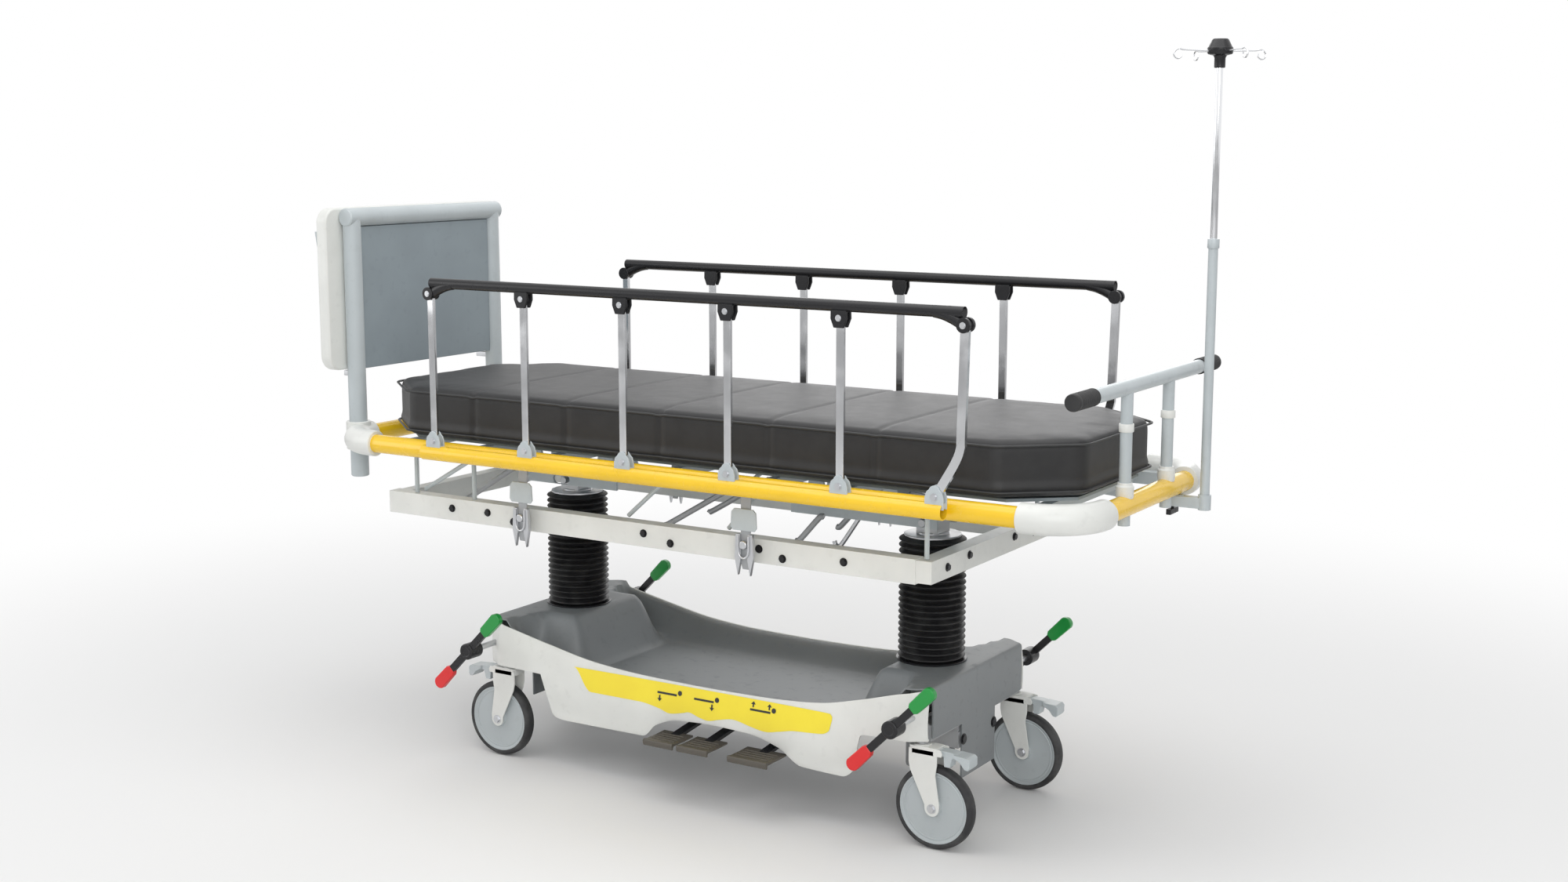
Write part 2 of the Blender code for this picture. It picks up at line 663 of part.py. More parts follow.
# ---------------------------------------------------------------- columns
def build_column(name, x):
    mid = cut(rod((x, 0, MID_Z[0]), (x, 0, MID_Z[1]), MID_R, 16),
              rod((x, 0, MID_Z[0] - 0.01), (x, 0, MID_Z[1] + 0.01), MID_R - TUBE_WALL, 16))
    piece(f"column_{name}_middle", mid, "steel_grey", (x, 0, MID_Z[0]))
    ram = joined(rod((x, 0, RAM_Z[0]), (x, 0, RAM_Z[1]), RAM_R, 14),
                 rod((x, 0, FLANGE_Z[0]), (x, 0, FLANGE_Z[1]), 0.070, 16),
                 box((x - 0.028, -0.034, RAM_Z[1] - 0.003), (x + 0.028, 0.034, PIVOT_Z + 0.014)),
                 rod((x, -PLATE_Y[1] - 0.008, PIVOT_Z), (x, PLATE_Y[1] + 0.008, PIVOT_Z), PIN_R, 10))
    piece(f"column_{name}_ram", ram, "steel_grey", (x, 0, RAM_Z[0]))
    low, high = BELLOWS_Z
    pitch = (high - low) / BELLOWS_FOLDS
    outside = [(BELLOWS_VALLEY_R, low)]
    for fold in range(BELLOWS_FOLDS):
        outside += [(BELLOWS_R, low + (fold + 0.5) * pitch), (BELLOWS_VALLEY_R, low + (fold + 1) * pitch)]
    sleeve = turned([(BELLOWS_BORE_R, high), (BELLOWS_BORE_R, low)] + outside, 14)
    piece(f"bellows_{name}", moved(sleeve, (x, 0, 0)), "rubber", (x, 0, low))


# ---------------------------------------------------------------- deck
def rounded_loop(x_low, x_high, y_half, radius, z, steps=5):
    return [(x, y, z) for x, y in round_box((x_low, -y_half), (x_high, y_half), radius, steps)]


def build_subframe(deck):
    low, high = BEAM_Z
    shapes = []
    for _, side in SIDES:
        inner, outer = sorted((side * BEAM_Y[0], side * BEAM_Y[1]))
        shapes.append(box((BEAM_X[0], inner, low), (BEAM_X[1], outer, high)))
    shapes.append(box((BEAM_X[1] - 0.001, -BEAM_Y[1] + 0.002, low + 0.004),
                      (BEAM_X[1] + BEAM_END, BEAM_Y[1] - 0.002, high - 0.002)))
    shapes.append(box((BEAM_X[0] + 0.002, -BEAM_Y[0] - 0.005, low + 0.004),
                      (BEAM_X[0] + BEAM_END, BEAM_Y[0] + 0.005, high - 0.002)))
    piece("subframe", joined(*shapes), "frame_white", AXES["deck_axis"], deck)


def track_z(x):
    """Height of the stay's running line under the backrest."""
    return HINGE_Z - (x - HINGE_X) * math.tan(STAY_DROP)


def build_deck_frame(deck):
    """Inner rails, cross members, column plates, stay track, drop rods and braces."""
    low, high = RAIL_Z
    shapes = []
    x_ends = (FOOT_X + BEND_R - 0.045, HEAD_X - BEND_R + 0.045)
    for _, side in SIDES:
        inner, outer = sorted((side * RAIL_Y[0], side * RAIL_Y[1]))
        shapes.append(box((x_ends[0], inner, low), (x_ends[1], outer, high)))
        stub = sorted((side * (RAIL_Y[1] - 0.005), side * (SIDE_Y - TUBE_R - GAP)))
        for x in CROSS_X:
            shapes.append(box((x - 0.012, stub[0], low + 0.004), (x + 0.012, stub[1], high - 0.004)))
        for x, y in RODS:
            shapes.append(rod((x, side * y, BEAM_Z[1] + GAP), (x, side * y, low + 0.010), ROD_R, 8))
        for x_low, x_high in BRACES:
            shapes.append(rod((x_low, side * BRACE_Y[0], BRACE_Z[0]), (x_high, side * BRACE_Y[1], BRACE_Z[1]),
                              ROD_R, 8))
        track = sorted((side * TRACK_Y[0], side * TRACK_Y[1]))
        lift = STAY_ROD_R + GAP
        shapes.append(plate([(CROSS_X[5] - 0.01, low + 0.006), (CROSS_X[6] + 0.01, 0.7700),
                             (CROSS_X[6] + 0.01, track_z(CROSS_X[6]) + 0.021), (0.872, track_z(0.872) + 0.021),
                             (0.872, track_z(0.872) - lift), (0.480, track_z(0.480) - lift),
                             (CROSS_X[5] - 0.01, low + 0.020)], *track))
        bar = sorted((side * PLATE_Y[0], side * PLATE_Y[1]))
        slot_half = PIN_R + 0.0025
        slot = round_box((COLUMN_FOOT_X - 0.040, PIVOT_Z - slot_half),
                         (COLUMN_FOOT_X + 0.016, PIVOT_Z + slot_half), slot_half - 0.0005)
        tab, edge, shoulder = low + 0.012, PLATE_Z[1], PLATE_Z[1] + 0.006
        foot = [(-0.680, PLATE_Z[0] - 0.001), (-0.385, PLATE_Z[0] - 0.001), (-0.385, edge + 0.002),
                (-0.400, tab), (-0.440, tab), (-0.455, shoulder), (-0.625, shoulder), (-0.640, tab),
                (-0.680, tab)]
        shapes.append(plate(foot, *bar, holes=[slot]))
        head = [(0.154, PLATE_Z[0]), (0.560, PLATE_Z[0]), (0.560, shoulder), (0.470, shoulder),
                (0.450, tab), (0.420, tab), (0.400, edge), (0.260, edge), (0.240, tab), (0.210, tab),
                (0.190, edge), (0.154, edge)]
        shapes.append(plate(head, *bar, holes=[ring((COLUMN_HEAD_X, PIVOT_Z), PIN_R + 0.0012, 10)]))
    for x in CROSS_X:
        shapes.append(box((x - 0.014, -RAIL_Y[0] - 0.005, low + 0.002),
                          (x + 0.014, RAIL_Y[0] + 0.005, high - 0.002)))
    piece("deck_frame", joined(*shapes), "steel_grey", AXES["deck_axis"], deck)


def build_bumper(deck):
    """Yellow tube loop with its four corner fittings and the sockets of the boards and handle."""
    loop = tube(rounded_loop(FOOT_X, HEAD_X, SIDE_Y, BEND_R, TUBE_Z), TUBE_R, cyclic=True)
    shapes = []
    for x_end, way in ((HEAD_X, 1), (FOOT_X, -1)):
        for _, side in SIDES:
            centre = (x_end - way * BEND_R, side * (SIDE_Y - BEND_R))
            bend = [(centre[0] + way * BEND_R * math.sin(math.radians(a)),
                     centre[1] + side * BEND_R * math.cos(math.radians(a)), TUBE_Z) for a in range(0, 91, 18)]
            first = (bend[0][0] - way * 0.018, bend[0][1], TUBE_Z)
            last = (bend[-1][0], bend[-1][1] - side * 0.004, TUBE_Z)
            shapes.append(tube([first] + bend + [last], CORNER_R))
    holes = []
    for _, side in SIDES:
        shapes.append(rod((BOARD_POST_X, side * BOARD_POST_Y, TUBE_Z - 0.037),
                          (BOARD_POST_X, side * BOARD_POST_Y, TUBE_Z + 0.038), BOARD_POST_R + 0.009, 14))
        holes.append(rod((BOARD_POST_X, side * BOARD_POST_Y, TUBE_Z - 0.09),
                         (BOARD_POST_X, side * BOARD_POST_Y, TUBE_Z + 0.09), BOARD_POST_R + GAP, 14))
        holes.append(rod((HEAD_X - 0.001, side * HANDLE_POST_Y, TUBE_Z - 0.09),
                         (HEAD_X - 0.001, side * HANDLE_POST_Y, TUBE_Z + 0.09), HANDLE_POST_R + GAP, 12))
    piece("bumper_frame", cut(joined(loop, *shapes), *holes), "yellow_tube", AXES["deck_axis"], deck)


def panel_outline(x_low, x_high, half, low_cut, high_cut):
    """A deck board's outline, with chamfers where it follows the mattress's corners."""
    run, rise = CHAMFER
    run, rise = run * 0.8, rise * 0.8
    outline = []
    outline += [(x_low, -half + rise), (x_low + run, -half)] if low_cut else [(x_low, -half)]
    outline += [(x_high - run, -half), (x_high, -half + rise)] if high_cut else [(x_high, -half)]
    outline += [(x_high, half - rise), (x_high - run, half)] if high_cut else [(x_high, half)]
    outline += [(x_low + run, half), (x_low, half - rise)] if low_cut else [(x_low, half)]
    return outline


def build_panels(deck, back):
    outline = panel_outline(MATTRESS_X[0] + 0.03, HINGE_X - 0.005, PANEL_Y, True, False)
    piece("deck_panel", plate(outline, *PANEL_Z, "XY"), "panel_grey", AXES["deck_axis"], deck)
    board = plate(panel_outline(HINGE_X + 0.005, MATTRESS_X[1] - 0.03, PANEL_Y, False, True), *PANEL_Z, "XY")
    x, z = HINGE_X + STAY_ARM * math.cos(STAY_DROP), HINGE_Z - STAY_ARM * math.sin(STAY_DROP)
    lugs = []
    for _, side in SIDES:
        low, high = sorted((side * (STAY_Y + 0.0065), side * (STAY_Y + 0.0115)))
        lugs.append(plate([(x - 0.022, PANEL_Z[0] + 0.002), (x - 0.008, z - 0.011), (x + 0.008, z - 0.011),
                           (x + 0.022, PANEL_Z[0] + 0.002)], low, high))
        lugs.append(rod((x, side * (STAY_Y - 0.0055), z), (x, side * (STAY_Y + 0.008), z), 0.0045, 8))
    piece("backrest_panel", joined(board, *lugs), "panel_grey", AXES["backrest_axis"], back)


def build_stay(back):
    """Prop frame under the backrest: two legs on the panel's pins and a rod that runs on the track."""
    x, z = HINGE_X + STAY_ARM * math.cos(STAY_DROP), HINGE_Z - STAY_ARM * math.sin(STAY_DROP)
    far_x = HINGE_X + 2 * STAY_ARM * math.cos(STAY_DROP)
    far_z = HINGE_Z - 2 * STAY_ARM * math.sin(STAY_DROP)
    shapes = [rod((far_x, -TRACK_Y[1] - 0.008, far_z), (far_x, TRACK_Y[1] + 0.008, far_z), STAY_ROD_R, 10)]
    lean = math.atan2(far_z - z, far_x - x)
    for _, side in SIDES:
        low, high = sorted((side * (STAY_Y - 0.0055), side * (STAY_Y + 0.0055)))
        leg = round_box((-0.010, -0.0078), (STAY_ARM + 0.006, 0.0078), 0.0072, 3)
        bar = plate(leg, low, high, holes=[ring((0, 0), 0.0056)])
        bar.data.transform(Matrix.Translation((x, 0, z)) @ Matrix.Rotation(-lean, 4, "Y"))
        shapes.append(bar)
    piece("backrest_stay", joined(*shapes), "steel_grey", (x, 0, z))


def mattress_block(x_low, x_high, low_cut, high_cut, notch_low, notch_high):
    """A plain block of the mattress, its hinge end sloped so the backrest can rise."""
    run, rise = CHAMFER
    half = MATTRESS_HALF
    outline = [(x_low, -half + rise), (x_low + run, -half)] if low_cut else [(x_low, -half)]
    outline += [(x_high - run, -half), (x_high, -half + rise)] if high_cut else [(x_high, -half)]
    outline += [(x, -y) for x, y in reversed(outline)]
    block = plate(outline, *MATTRESS_Z, "XY")
    slope = math.tan(math.radians(NOTCH_DEG))
    low, high = MATTRESS_Z[0] - HINGE_Z, MATTRESS_Z[1] - HINGE_Z
    for knot in block.data.vertices:
        if notch_high and abs(knot.co.x - x_high) < 0.0001:
            knot.co.x = HINGE_X - 0.004 - slope * (knot.co.z - HINGE_Z)
        if notch_low and abs(knot.co.x - x_low) < 0.0001:
            knot.co.x = HINGE_X + 0.004 + slope * (knot.co.z - HINGE_Z)
    return block


def build_mattress(deck, back):
    seat = mattress_block(MATTRESS_X[0], HINGE_X - 0.01, True, False, False, True)
    piece("mattress_seat", seat, "mattress", AXES["deck_axis"], deck)
    rest = mattress_block(HINGE_X + 0.01, MATTRESS_X[1], False, True, True, False)
    piece("mattress_back", rest, "mattress", AXES["backrest_axis"], back)


# ---------------------------------------------------------------- side rails
def bracket_outline(x):
    """Lower bracket: wide on the tube, narrowing above the pivot."""
    low = BASE_TUBE_Z + 0.006
    return [(x - 0.023, low), (x + 0.023, low), (x + 0.023, 0.862), (x + 0.013, 0.886), (x - 0.013, 0.886),
            (x - 0.023, 0.862)]


def build_rail_tube(deck):
    """Base tube outside the bumper, with six forked brackets and their pivot pins."""
    tube_bar = rod((BASE_TUBE_X[0], RAIL_PLANE, BASE_TUBE_Z), (BASE_TUBE_X[1], RAIL_PLANE, BASE_TUBE_Z),
                   BASE_TUBE_R, 10)
    outer = SLOT / 2 + CHEEK
    blocks = [plate(bracket_outline(x), RAIL_PLANE - outer, RAIL_PLANE + outer) for x in POST_X]
    slots = [box((x - 0.030, RAIL_PLANE - SLOT / 2, POST_FOOT_Z - POST_W / 2 - 0.0015),
                 (x + 0.030, RAIL_PLANE + SLOT / 2, 0.900)) for x in POST_X]
    pins = [rod((x, RAIL_PLANE - SLOT / 2 - 0.002, POST_FOOT_Z), (x, RAIL_PLANE + outer + 0.003, POST_FOOT_Z),
                PIVOT_PIN_R, 8) for x in POST_X]
    shape = joined(cut(joined(tube_bar, *blocks), *slots), *pins)
    piece("rail_tube_near", flipped(shape), "yellow_tube", AXES["deck_axis"], deck)
    piece("rail_tube_far", shape, "yellow_tube", AXES["deck_axis"], deck)


def top_x(index):
    return LAST_TOP_X if index == len(POST_X) - 1 else POST_X[index]


def clamp_outline(x):
    return [(x - 0.020, 1.2510), (x - 0.020, 1.2290), (x - 0.012, 1.2130), (x + 0.012, 1.2130),
            (x + 0.020, 1.2290), (x + 0.020, 1.2510)]


def build_top_bar():
    """Grab bar with curved ends, six clamps slotted for the posts, and the clamps' pins."""
    first, last = top_x(0), top_x(len(POST_X) - 1)
    bend = [(0.000, 0.000), (0.020, 0.011), (0.040, 0.019), (0.060, 0.024), (0.080, BAR_Z - POST_TOP_Z)]
    path = [(first + run, RAIL_PLANE, POST_TOP_Z + rise) for run, rise in bend]
    path += [(last - run, RAIL_PLANE, POST_TOP_Z + rise) for run, rise in reversed(bend)]
    bar = tube(path, BAR_R)
    outer = SLOT / 2 + CHEEK
    blocks = [plate(clamp_outline(POST_X[i]), RAIL_PLANE - outer, RAIL_PLANE + outer)
              for i in range(1, len(POST_X) - 1)]
    knuckles = [rod((x, RAIL_PLANE - BAR_R - 0.001, POST_TOP_Z), (x, RAIL_PLANE + BAR_R + 0.001, POST_TOP_Z),
                    KNUCKLE_R, 14) for x in (first, last)]
    slot_top = POST_TOP_Z + POST_W / 2 + 0.0012
    slots = [box((top_x(i) - 0.030, RAIL_PLANE - SLOT / 2, 1.200),
                 (top_x(i) + 0.046, RAIL_PLANE + SLOT / 2, slot_top)) for i in range(len(POST_X))]
    pins = [rod((top_x(i), RAIL_PLANE - SLOT / 2 - 0.002, POST_TOP_Z),
                (top_x(i), RAIL_PLANE + SLOT / 2 + 0.002, POST_TOP_Z), PIVOT_PIN_R, 8) for i in range(len(POST_X))]
    return joined(cut(joined(bar, *blocks, *knuckles), *slots), *pins)


def post_outline(points):
    """A flat bar of the posts' width along points, with round ends."""
    half = POST_W / 2
    left, right = [], []
    for i, (x, z) in enumerate(points):
        before = points[max(i - 1, 0)]
        after = points[min(i + 1, len(points) - 1)]
        way = Vector((after[0] - before[0], after[1] - before[1])).normalized()
        left.append((x - way.y * half, z + way.x * half))
        right.append((x + way.y * half, z - way.x * half))
    start = Vector((points[1][0] - points[0][0], points[1][1] - points[0][1]))
    end = Vector((points[-1][0] - points[-2][0], points[-1][1] - points[-2][1]))
    start_deg = math.degrees(math.atan2(start.y, start.x))
    end_deg = math.degrees(math.atan2(end.y, end.x))
    outline = arc(points[0], half, start_deg + 90, start_deg + 270, 4)
    outline += right[1:-1]
    outline += arc(points[-1], half, end_deg - 90, end_deg + 90, 4)
    outline += left[1:-1][::-1]
    return outline


def build_posts():
    rise = POST_TOP_Z - POST_FOOT_Z
    straight = [(0, 0), (0, rise)]
    dog = [(0, 0), (DOGLEG[0] - POST_X[-1] - 0.006, DOGLEG[1] - POST_FOOT_Z - 0.012),
           (DOGLEG[0] - POST_X[-1], DOGLEG[1] - POST_FOOT_Z + 0.012), (LAST_TOP_X - POST_X[-1], rise)]
    meshes = {}
    for name, side in SIDES:
        for i, x in enumerate(POST_X):
            kind = "dog" if i == len(POST_X) - 1 else "straight"
            place = (x, side * RAIL_PLANE, POST_FOOT_Z)
            tag = f"post_{name}_{i}"
            if kind in meshes:
                piece(tag, None, None, place, keep_mesh=meshes[kind])
                continue
            line = dog if kind == "dog" else straight
            holes = [ring(line[0], PIVOT_HOLE_R), ring(line[-1], PIVOT_HOLE_R)]
            shape = plate(post_outline(line), -POST_T / 2, POST_T / 2, holes=holes)
            if kind == "dog":       # an open hook, which leaves the bar's pin on the foot side
                hook_x, hook_z = line[-1]
                shape = cut(shape, box((hook_x - POST_W, -POST_T, hook_z - HOOK_HALF),
                                       (hook_x, POST_T, hook_z + HOOK_HALF)))
            made = piece(tag, shape, "chrome")
            made.location = place
            meshes[kind] = made.data


def build_top_bars():
    shape = build_top_bar()
    for name, side, form in (("near", -1, flipped(shape)), ("far", 1, shape)):
        piece(f"top_bar_{name}", form, "black_plastic", (POST_X[0], side * RAIL_PLANE, POST_TOP_Z))


# ---------------------------------------------------------------- head end
def build_push_handle(deck):
    shapes = [rod((HEAD_X - 0.001, -HANDLE_Y + 0.01, HANDLE_Z), (HEAD_X - 0.001, HANDLE_Y - 0.01, HANDLE_Z),
                  HANDLE_BAR_R, 12)]
    for _, side in SIDES:
        shapes.append(rod((HEAD_X - 0.001, side * (HANDLE_Y - GRIP_LEN), HANDLE_Z),
                          (HEAD_X - 0.001, side * HANDLE_Y, HANDLE_Z), GRIP_R, 12))
        y = side * HANDLE_POST_Y
        shapes.append(rod((HEAD_X - 0.001, y, HANDLE_FOOT_Z), (HEAD_X - 0.001, y, HANDLE_Z),
                          HANDLE_POST_R, 12))
        for z in HANDLE_COLLARS:
            shapes.append(rod((HEAD_X - 0.001, y, z - 0.009), (HEAD_X - 0.001, y, z + 0.009),
                              HANDLE_POST_R + 0.003, 12))
    piece("push_handle", joined(*shapes), "light_grey", AXES["deck_axis"], deck)


def build_drip_pole(deck):
    half = (ARM_Z[1] - ARM_Z[0]) / 2
    arm = box((HEAD_X - 0.030, POLE_Y - half, ARM_Z[0]), (POLE_X, POLE_Y + half, ARM_Z[1]))
    saddle = box((HEAD_X - 0.014, POLE_Y - half + 0.003, ARM_Z[1] - 0.002),
                 (HEAD_X + 0.014, POLE_Y + half - 0.003, TUBE_Z - TUBE_R - 0.0003))
    socket = rod((POLE_X, POLE_Y, ARM_Z[0] - 0.003), (POLE_X, POLE_Y, ARM_Z[1] + 0.008),
                 POLE_LOWER_R + 0.004, 14)
    bore = rod((POLE_X, POLE_Y, ARM_Z[0] + 0.002), (POLE_X, POLE_Y, ARM_Z[1] + 0.03), POLE_LOWER_R + GAP, 14)
    tapping = rod((KNOB_X, POLE_Y, ARM_Z[0] - 0.02), (KNOB_X, POLE_Y, ARM_Z[0] + 0.006), 0.005, 8)
    piece("drip_pole_arm", cut(joined(arm, saddle, socket), bore, tapping), "light_grey",
          AXES["deck_axis"], deck)
    screw = rod((KNOB_X, POLE_Y, ARM_Z[0] - 0.008), (KNOB_X, POLE_Y, ARM_Z[0] + 0.003), 0.004, 8)
    wing = box((KNOB_X - 0.006, POLE_Y - 0.026, ARM_Z[0] - 0.019), (KNOB_X + 0.006, POLE_Y + 0.026, ARM_Z[0] - 0.006))
    piece("drip_pole_knob", joined(wing, screw), "light_grey", (KNOB_X, POLE_Y, ARM_Z[0] - 0.012))
    base = ARM_Z[0] + 0.0025
    lower = joined(rod((POLE_X, POLE_Y, base), (POLE_X, POLE_Y, POLE_LOWER_TOP - 0.002), POLE_LOWER_R, 14),
                   rod((POLE_X, POLE_Y, POLE_LOWER_TOP - 0.022), (POLE_X, POLE_Y, POLE_LOWER_TOP), 0.0135, 14))
    bore = rod((POLE_X, POLE_Y, base + 0.003), (POLE_X, POLE_Y, POLE_LOWER_TOP + 0.02), POLE_UPPER_R + 0.0007, 14)
    piece("drip_pole_lower", cut(lower, bore), "light_grey", AXES["deck_axis"], deck)
    neck = POLE_UPPER_Z[1]
    shapes = [rod((POLE_X, POLE_Y, POLE_UPPER_Z[0]), (POLE_X, POLE_Y, neck), POLE_UPPER_R, 12),
              rod((POLE_X, POLE_Y, neck - 0.014), (POLE_X, POLE_Y, neck + 0.016), 0.0125, 12),
              rod((POLE_X, POLE_Y, neck + 0.013), (POLE_X, POLE_Y, neck + 0.033), 0.026, 12, 0.0285),
              rod((POLE_X, POLE_Y, neck + 0.032), (POLE_X, POLE_Y, neck + 0.050), 0.026, 12, 0.016)]
    for quarter in range(4):
        angle = math.radians(50 + 90 * quarter)
        way = Vector((math.cos(angle), math.sin(angle), 0))
        centre = Vector((POLE_X, POLE_Y, neck + 0.023))
        loop = [centre + way * reach + Vector((0, 0, rise)) for reach, rise in
                ((0.020, 0.0), (HOOK_SPAN - 0.012, 0.001), (HOOK_SPAN - 0.002, -0.003), (HOOK_SPAN, -0.010),
                 (HOOK_SPAN - 0.007, -0.016), (HOOK_SPAN - 0.015, -0.013))]
        shapes.append(tube([tuple(point) for point in loop], 0.0016, resolution=1))
    piece("drip_pole_upper", joined(*shapes), "light_grey", (POLE_X, POLE_Y, POLE_UPPER_Z[0]))


# ---------------------------------------------------------------- foot end
def build_footboard(deck):
    shapes = []
    for _, side in SIDES:
        y = side * BOARD_POST_Y
        shapes.append(rod((BOARD_POST_X, y, BOARD_POST_FOOT), (BOARD_POST_X, y, BOARD_TOP_Z), BOARD_POST_R, 14))
        low, high = sorted((side * 0.262, side * 0.276))
        shapes.append(box((SHELF_X[1] - 0.0255, low, SHELF_Z[0] - 0.019),
                          (BOARD_POST_X, high, SHELF_Z[0] - 0.0045)))
    shapes.append(rod((BOARD_POST_X, -BOARD_POST_Y - 0.0245, BOARD_TOP_Z),
                      (BOARD_POST_X, BOARD_POST_Y + 0.0245, BOARD_TOP_Z), BOARD_POST_R + 0.0005, 14))
    piece("footboard_frame", joined(*shapes), "light_grey", AXES["deck_axis"], deck)
    reach = BOARD_POST_Y - BOARD_POST_R - GAP
    panel = box((BOARD_POST_X - 0.008, -reach, PANEL_FOOT_Z),
                (BOARD_POST_X + 0.008, reach, BOARD_TOP_Z - BOARD_POST_R - 2 * GAP))
    piece("footboard_panel", panel, "panel_grey", AXES["deck_axis"], deck)


def build_shelf():
    pivot = ((SHELF_X[0] + SHELF_X[1]) / 2, 0, SHELF_Z[0] - 0.011)
    shelf_axis = axis_empty("shelf_axis", pivot)
    outline = round_box((-SHELF_Y, SHELF_Z[0]), (SHELF_Y, SHELF_Z[1]), SHELF_CORNER, 4)
    piece("footboard_shelf", plate(outline, *SHELF_X, "YZ"), "frame_white", pivot, shelf_axis)
    x = SHELF_X[0] - GAP
    low, high = POCKET_Z
    outer = plate([(x, low), (x, high), (x - POCKET_DEPTH, high), (x - 0.006, low)], -POCKET_Y, POCKET_Y)
    inner = plate([(x - 0.003, low + 0.003), (x - 0.003, high + 0.02), (x - POCKET_DEPTH - 0.001, high + 0.02),
                   (x - 0.0062, low + 0.010)], -POCKET_Y + 0.003, POCKET_Y - 0.003)
    piece("document_pocket", cut(outer, inner), "frame_white", pivot, shelf_axis)


def build_all():
    deck = axis_empty("deck_axis", (COLUMN_HEAD_X, 0, PIVOT_Z))
    back = axis_empty("backrest_axis", (HINGE_X, 0, HINGE_Z), deck)
    build_chassis()
    build_tub()
    build_skirts()
    for name, x in BRAKE_BARS:
        build_brake_bar(name, x)
    for name, x_low, x_high in PEDALS:
        build_pedal(name, x_low, x_high)
    build_casters()
    build_column("foot", COLUMN_FOOT_X)
    build_column("head", COLUMN_HEAD_X)
    build_subframe(deck)
    build_deck_frame(deck)
    build_bumper(deck)
    build_panels(deck, back)
    build_stay(back)
    build_mattress(deck, back)
    build_rail_tube(deck)
    build_posts()
    build_top_bars()
    build_push_handle(deck)
    build_drip_pole(deck)
    build_footboard(deck)
    build_shelf()


build_all()
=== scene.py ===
"""Looks of a patient transport cot on two lifting columns, over its packed frame. Metres, +Z up.

+X points to the head end, -Y is the near side, and the floor is at z = 0.
"""
import json
import math

import bmesh
import bpy
from bpy.props import FloatProperty, FloatVectorProperty, IntProperty, PointerProperty
from mathutils import Matrix, Vector

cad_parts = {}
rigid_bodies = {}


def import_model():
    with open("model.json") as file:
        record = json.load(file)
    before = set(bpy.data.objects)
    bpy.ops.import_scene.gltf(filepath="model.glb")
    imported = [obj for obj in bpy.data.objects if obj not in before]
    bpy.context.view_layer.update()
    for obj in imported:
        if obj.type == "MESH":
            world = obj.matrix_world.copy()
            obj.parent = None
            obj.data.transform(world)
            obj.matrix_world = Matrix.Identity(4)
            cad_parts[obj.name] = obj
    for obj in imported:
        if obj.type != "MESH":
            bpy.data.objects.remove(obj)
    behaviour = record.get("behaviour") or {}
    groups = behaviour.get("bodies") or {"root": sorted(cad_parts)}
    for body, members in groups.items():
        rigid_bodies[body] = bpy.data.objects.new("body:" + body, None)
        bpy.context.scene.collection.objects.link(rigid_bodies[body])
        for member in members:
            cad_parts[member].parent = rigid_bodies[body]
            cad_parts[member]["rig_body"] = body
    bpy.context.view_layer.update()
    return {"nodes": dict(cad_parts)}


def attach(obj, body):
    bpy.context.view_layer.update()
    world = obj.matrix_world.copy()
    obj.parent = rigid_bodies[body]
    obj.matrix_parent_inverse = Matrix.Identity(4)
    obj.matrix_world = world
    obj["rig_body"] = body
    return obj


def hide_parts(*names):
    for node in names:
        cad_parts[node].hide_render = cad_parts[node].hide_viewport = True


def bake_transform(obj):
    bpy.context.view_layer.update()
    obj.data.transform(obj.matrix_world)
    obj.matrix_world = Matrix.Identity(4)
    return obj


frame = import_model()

bl_info = {
    "name": "Transport cot looks",
    "version": (1, 0, 0),
    "blender": (4, 5, 0),
    "location": "3D View > Sidebar > Transport cot",
    "description": "Builds the visible pieces of a patient transport cot over its jointed frame",
    "category": "Object",
}

SIDES = (("near", -1), ("far", 1))

# sizes shared with the frame
WHEEL_R = 0.100
WHEEL_HALF = 0.016
TRAIL = 0.035
FORK_TOP = 0.2455
SWIVELS = (("head", 0.629, 1), ("foot", -0.595, -1))
CASTER_Y = 0.2417
TOE_PIVOT = (0.050, 0.234)
BASE_HALF = 0.652
PLATEAU_Z = 0.376
FLOOR_Z = 0.245
RIM_Y = 0.268
SKIRT_TOP = ((-0.648, 0.372), (-0.600, 0.362), (-0.445, 0.331), (-0.293, 0.305), (-0.150, 0.295),
             (0.040, 0.292), (0.200, 0.294), (0.300, 0.299), (0.375, 0.307), (0.480, 0.332),
             (0.606, 0.366), (0.648, 0.372))
SKIRT_FOOT = ((-0.648, 0.254), (-0.466, 0.252), (-0.452, 0.190), (-0.436, 0.143), (-0.400, 0.136),
              (-0.150, 0.138), (-0.102, 0.176), (-0.040, 0.198), (0.065, 0.204), (0.170, 0.201),
              (0.256, 0.180), (0.317, 0.140), (0.430, 0.137), (0.456, 0.152), (0.488, 0.252),
              (0.648, 0.254))
BRAKE_Z = 0.310
LEVER_Y = 0.370
PEDAL_AXLE = (-0.140, 0.185)
COLUMNS = (("foot", -0.556), ("head", 0.522))
BELLOWS_Z = (0.3793, 0.6793)
TUBE_R = 0.024
TUBE_Z = 0.8265
SIDE_Y = 0.364
HEAD_X = 1.058
FOOT_X = -1.072
BEND_R = 0.120
BEAM_Y = 0.310
MATTRESS_LOW = (-1.020, -0.326, 0.8475)
MATTRESS_HIGH = (1.000, 0.326, 0.980)
MATTRESS_CUT = (0.155, 0.131)
RAIL_PLANE = 0.4085
RAIL_TUBE_Z = 0.829
POST_X = (-0.6873, -0.3898, -0.0923, 0.2052, 0.5027, 0.741)
POST_FOOT_Z = 0.8611
POST_TOP_Z = 1.2346
LAST_TOP_X = 0.8067
DOGLEG = (0.800, 0.965)
BAR_Z = 1.261
HANDLE_X = 1.057
HANDLE_Z = 1.089
POLE = (1.125, 0.195)
POLE_NECK = 1.790
BOARD_X = -1.078
BOARD_Y = 0.280
BOARD_TOP = 1.410
SHELF_X = (-1.140, -1.1045)
